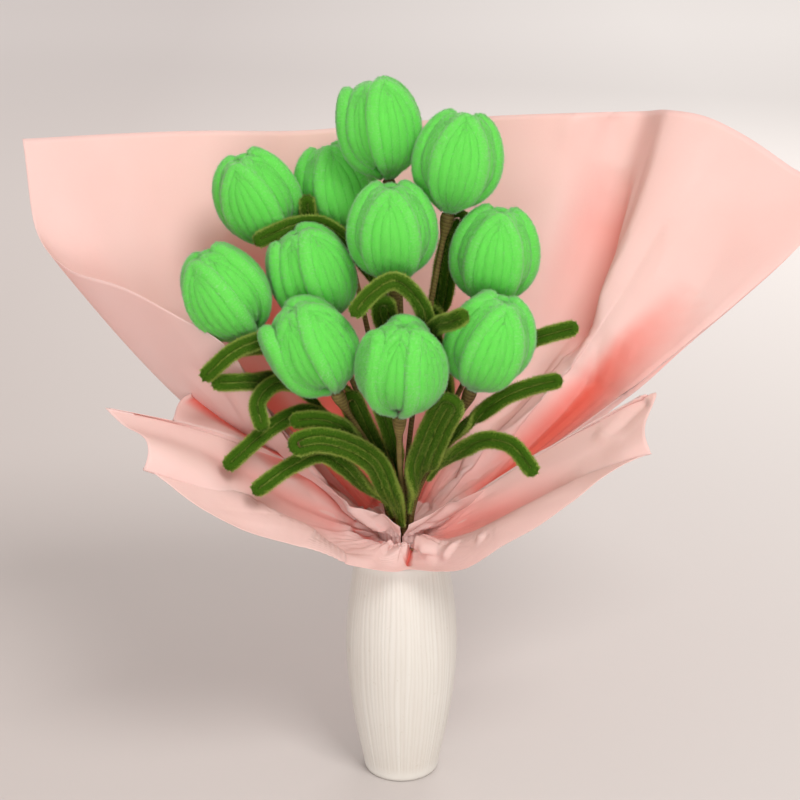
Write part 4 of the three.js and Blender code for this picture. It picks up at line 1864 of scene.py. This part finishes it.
FRONT_EDGE = [
    ((-109, 8, 286), -10, 165), ((-142, -10, 281), -24, 172), ((-147, -42, 276), -32, 179),
    ((-188, -50, 288), -34, 184), ((-163, -75, 270), -8, 194), ((-164, -85, 257), 6, 203),
    ((-128, -92, 238), 10, 213), ((-99, -88, 220), 8, 222), ((-73, -80, 205), 6, 232),
    ((-46, -70, 191), 0, 242), ((-25, -58, 180), -4, 251), ((-4, -46, 172), -6, 261),
    ((4, -42, 172), -4, 270), ((12, -45, 172), -6, 280), ((38, -58, 177), -4, 290),
    ((66, -72, 200), 4, 299), ((87, -80, 217), 6, 309), ((108, -85, 237), 8, 319),
    ((124, -85, 251), 8, 328), ((158, -80, 266), 4, 338), ((154, -62, 281), -6, 347),
    ((161, -45, 297), -12, 357),
    ((148, -41, 288), -10, 360), ((134, -37, 278.5), -9, 362), ((120, -33, 269), -8, 364),
    ((105, -28, 258), -7, 367), ((71, -17, 231), -3, 375), ((45, -9, 207), 0, 386),
]
FRONT_CORNERS = {2, 3, 5, 19}

# In these folds, the share given after fade paints shade and glow into the paper in saturated red.
BACK_FOLDS = [
    Fold(((0.66, 0.9), (0.668, 0.767), (0.685, 0.633), (0.712, 0.5)), -10, 40, 14, (0.3, 0.2), deep=0.55),
    Fold(((0.69, 1.0), (0.697, 0.9), (0.702, 0.75), (0.706, 0.65), (0.725, 0.48)), 13, 12, 60, (0.6, 0.2)),
    Fold(
        ((0.72, 0.58), (0.731, 0.483), (0.731, 0.383), (0.721, 0.3), (0.692, 0.233), (0.665, 0.14)),
        15, 26, 8, (0.3, 0.1), sharp=0.8,
    ),
    Fold(((0.70, 0.17), (0.675, 0.11), (0.65, 0.05)), 7, 7, 7, (0.2, 0.1), sharp=0.9),
    Fold(((0.755, 0.967), (0.745, 0.883), (0.731, 0.783), (0.726, 0.65)), -2, 12, 12),
    Fold(
        ((0.80, 0.75), (0.785, 0.6), (0.776, 0.47), (0.777, 0.36), (0.777, 0.25), (0.765, 0.1)),
        -3, 14, 46, (0.45, 0.1), deep=1.0, sharp=0,
    ),
    Fold(((0.615, 1.0), (0.61, 0.93)), 2.5, 10, 12, (0.0, 0.6)),
    Fold(((0.636, 1.0), (0.64, 0.9)), -3, 12, 10, (0.0, 0.6)),
    Fold(((0.60, 0.05), (0.61, 0.45), (0.6, 0.8)), 4, 26, 30, (0.1, 0.5)),
    Fold(((0.57, 0.05), (0.575, 0.3), (0.57, 0.65)), -5, 30, 26, (0.0, 0.5), deep=0.8, sharp=0),
    Fold(
        ((0.5, 0.05), (0.485, 0.3), (0.462, 0.55), (0.462, 0.8)),
        -5, 44, 40, (0.0, 0.3), deep=1.0, sharp=0,
    ),
    Fold(((0.41, 0.05), (0.42, 0.3), (0.425, 0.58)), -7, 36, 26, (0.0, 0.3), deep=1.0, sharp=0),
    Fold(((0.35, 0.1), (0.36, 0.5), (0.36, 0.85)), 4, 24, 30, (0.1, 0.5)),
    Fold(((0.25, 0.82), (0.235, 0.72), (0.24, 0.6)), 3, 10, 12, (0.3, 0.4)),
    Fold(((0.2, 0.1), (0.19, 0.5), (0.18, 0.9)), -3, 16, 16, (0.1, 0.4), deep=0.3),
    Fold(((0.115, 0.1), (0.12, 0.8)), 5, 9, 10, (0.2, 0.3)),
    Fold(((0.075, 0.1), (0.08, 1.0)), -4, 5, 6, (0.2, 0.1), deep=0.7),
    Fold(((0.03, 0.1), (0.035, 1.0)), 4, 6, 6, (0.2, 0.1)),
    Fold(((0.97, 0.1), (0.97, 1.0)), 4, 6, 8, (0.2, 0.1)),
]

FRONT_FOLDS = [
    Fold(
        ((0.145, 1.25), (0.156, 1.0), (0.17, 0.8), (0.196, 0.67), (0.245, 0.6), (0.33, 0.74)),
        10, 24, 34, (0.4, 0.15), sharp=0,
    ),
    Fold(
        ((0.135, 0.8), (0.139, 0.6), (0.153, 0.4), (0.162, 0.167)),
        -5, 12, 16, (0.5, 0.1), deep=0.4,
    ),
    Fold(
        ((0.03, 1.0), (0.05, 0.75), (0.075, 0.6), (0.095, 0.45), (0.105, 0.3), (0.11, 0.1)),
        -3, 34, 13, (0.0, 0.0), deep=1.0,
    ),
    Fold(
        ((0.51, 0.0), (0.505, 0.04), (0.48, 0.3), (0.454, 0.6), (0.45, 0.9)),
        -6, 3, 3, (0.0, 0.25), deep=1.0,
    ),
    Fold(((0.43, 0.05), (0.41, 0.35), (0.38, 0.6)), 7, 12, 10, (0.1, 0.4)),
    Fold(((0.56, 0.08), (0.53, 0.3), (0.50, 0.6)), 7, 9, 16, (0.1, 0.4)),
    Fold(((0.583, 0.433), (0.542, 0.567), (0.519, 0.68)), 3, 3, 7, (0.4, 0.2), sharp=1.0),
    Fold(
        ((0.634, 0.05), (0.69, 0.18), (0.70, 0.4), (0.70, 0.6), (0.70, 0.75)),
        -3, 16, 26, (0.1, 0.5), deep=0.5, sharp=0,
    ),
    Fold(
        ((0.54, 0.42), (0.6, 0.6), (0.65, 0.7), (0.70, 0.8), (0.735, 1.15)),
        6, 34, 20, (0.3, 0.3), sharp=0,
    ),
    Fold(((0.585, 0.62), (0.575, 0.72)), 2.2, 6, 6, (0.3, 0.3)),
    Fold(((0.77, 0.97), (0.74, 0.86)), -2.5, 9, 9, (0.0, 0.4)),
    Fold(((0.735, 0.93), (0.76, 0.8)), 2.2, 8, 8, (0.3, 0.3)),
    Fold(((0.134, 0.183), (0.2, 0.08), (0.292, 0.03), (0.444, 0.04)), -3, 4, 4, (0.2, 0.1), deep=1.0),
    Fold(((0.134, 0.483), (0.116, 0.35), (0.13, 0.2)), 3, 8, 8, (0.2, 0.3)),
    Fold(((0.204, 0.283), (0.333, 0.617), (0.389, 0.65)), -2.5, 8, 8, (0.3, 0.3)),
]


# In both finishes the darker root colour is painted shade among the fibres, tip and pale are the paler
# painted light on their tips, varying at random between the two, and edge is how much painted sheen the rim
# attribute adds.
PETAL_FINISH = Chenille(
    "petal_chenille_finish",
    root=(134, 253, 110),
    tip=(218, 255, 206),
    pale=(236, 255, 230),
    rim=(240, 255, 240),
    sheen=1.0,
    glow=0.45,
    ticks=0.05,
    dark_below=0.2,
    edge=0.16,
)
LEAF_FINISH = Chenille(
    "leaf_chenille_finish",
    root=(68, 108, 20),
    tip=(178, 202, 84),
    pale=(200, 222, 108),
    rim=(232, 240, 150),
    sheen=1.0,
    glow=0.35,
    ticks=0.05,
    dark_below=0.3,
    edge=0.85,
    spread=0.28,
)


class Bouquet:
    """The whole piece, built in order from its sub-assemblies."""

    def __init__(self, dress: dict[Slot, Callable[[], Material]]) -> None:
        """Makes every finish once.

        Args:
            dress: What makes the finish of each slot.
        """
        self.finishes = {slot: make() for slot, make in dress.items()}
        self.tulips = [Tulip(number, *facts) for number, facts in enumerate(TULIPS, 1)]

    def build(self) -> None:
        """Makes every piece."""
        Vase().build(self.finishes[Slot.CERAMIC])
        for tulip in self.tulips:
            tulip.build_stem(self.finishes[Slot.TAPE])
            tulip.build_head(self.finishes[Slot.PETAL])
        for name, stem, height, strands, along in LEAVES:
            Leaf(name, self.tulips[stem], height, strands, along).build(self.finishes[Slot.LEAF])
        back = Wrap(
            "paper_back", "back_wrap", 15.0, 183.0, BACK_EDGE, BACK_CORNERS, BACK_FOLDS,
            flat=(0.62, 0.34), area=0.15, seed=2.0,
        )
        front = Wrap(
            "paper_front", "front_wrap", 16.6, 178.0, FRONT_EDGE, FRONT_CORNERS, FRONT_FOLDS,
            flat=(0.34, 0.13), area=0.038, seed=9.0, gather=2.0, zigzag=(21.0, 25.6),
        )
        back.build(self.finishes[Slot.PAPER])
        front.build(self.finishes[Slot.PAPER])
        Tie().build(self.finishes[Slot.TWINE])


def main() -> None:
    """Builds and dresses the bouquet."""
    logging.basicConfig(level=logging.INFO, format="%(name)s: %(message)s")
    Stage().build(Studio().build())
    Bouquet({
        Slot.CERAMIC: Ceramic().build,
        Slot.PETAL: PETAL_FINISH.build,
        Slot.LEAF: LEAF_FINISH.build,
        Slot.TAPE: Tape().build,
        Slot.PAPER: Paper().build,
        Slot.TWINE: Twine().build,
    }).build()


if __name__ == "__main__":
    main()
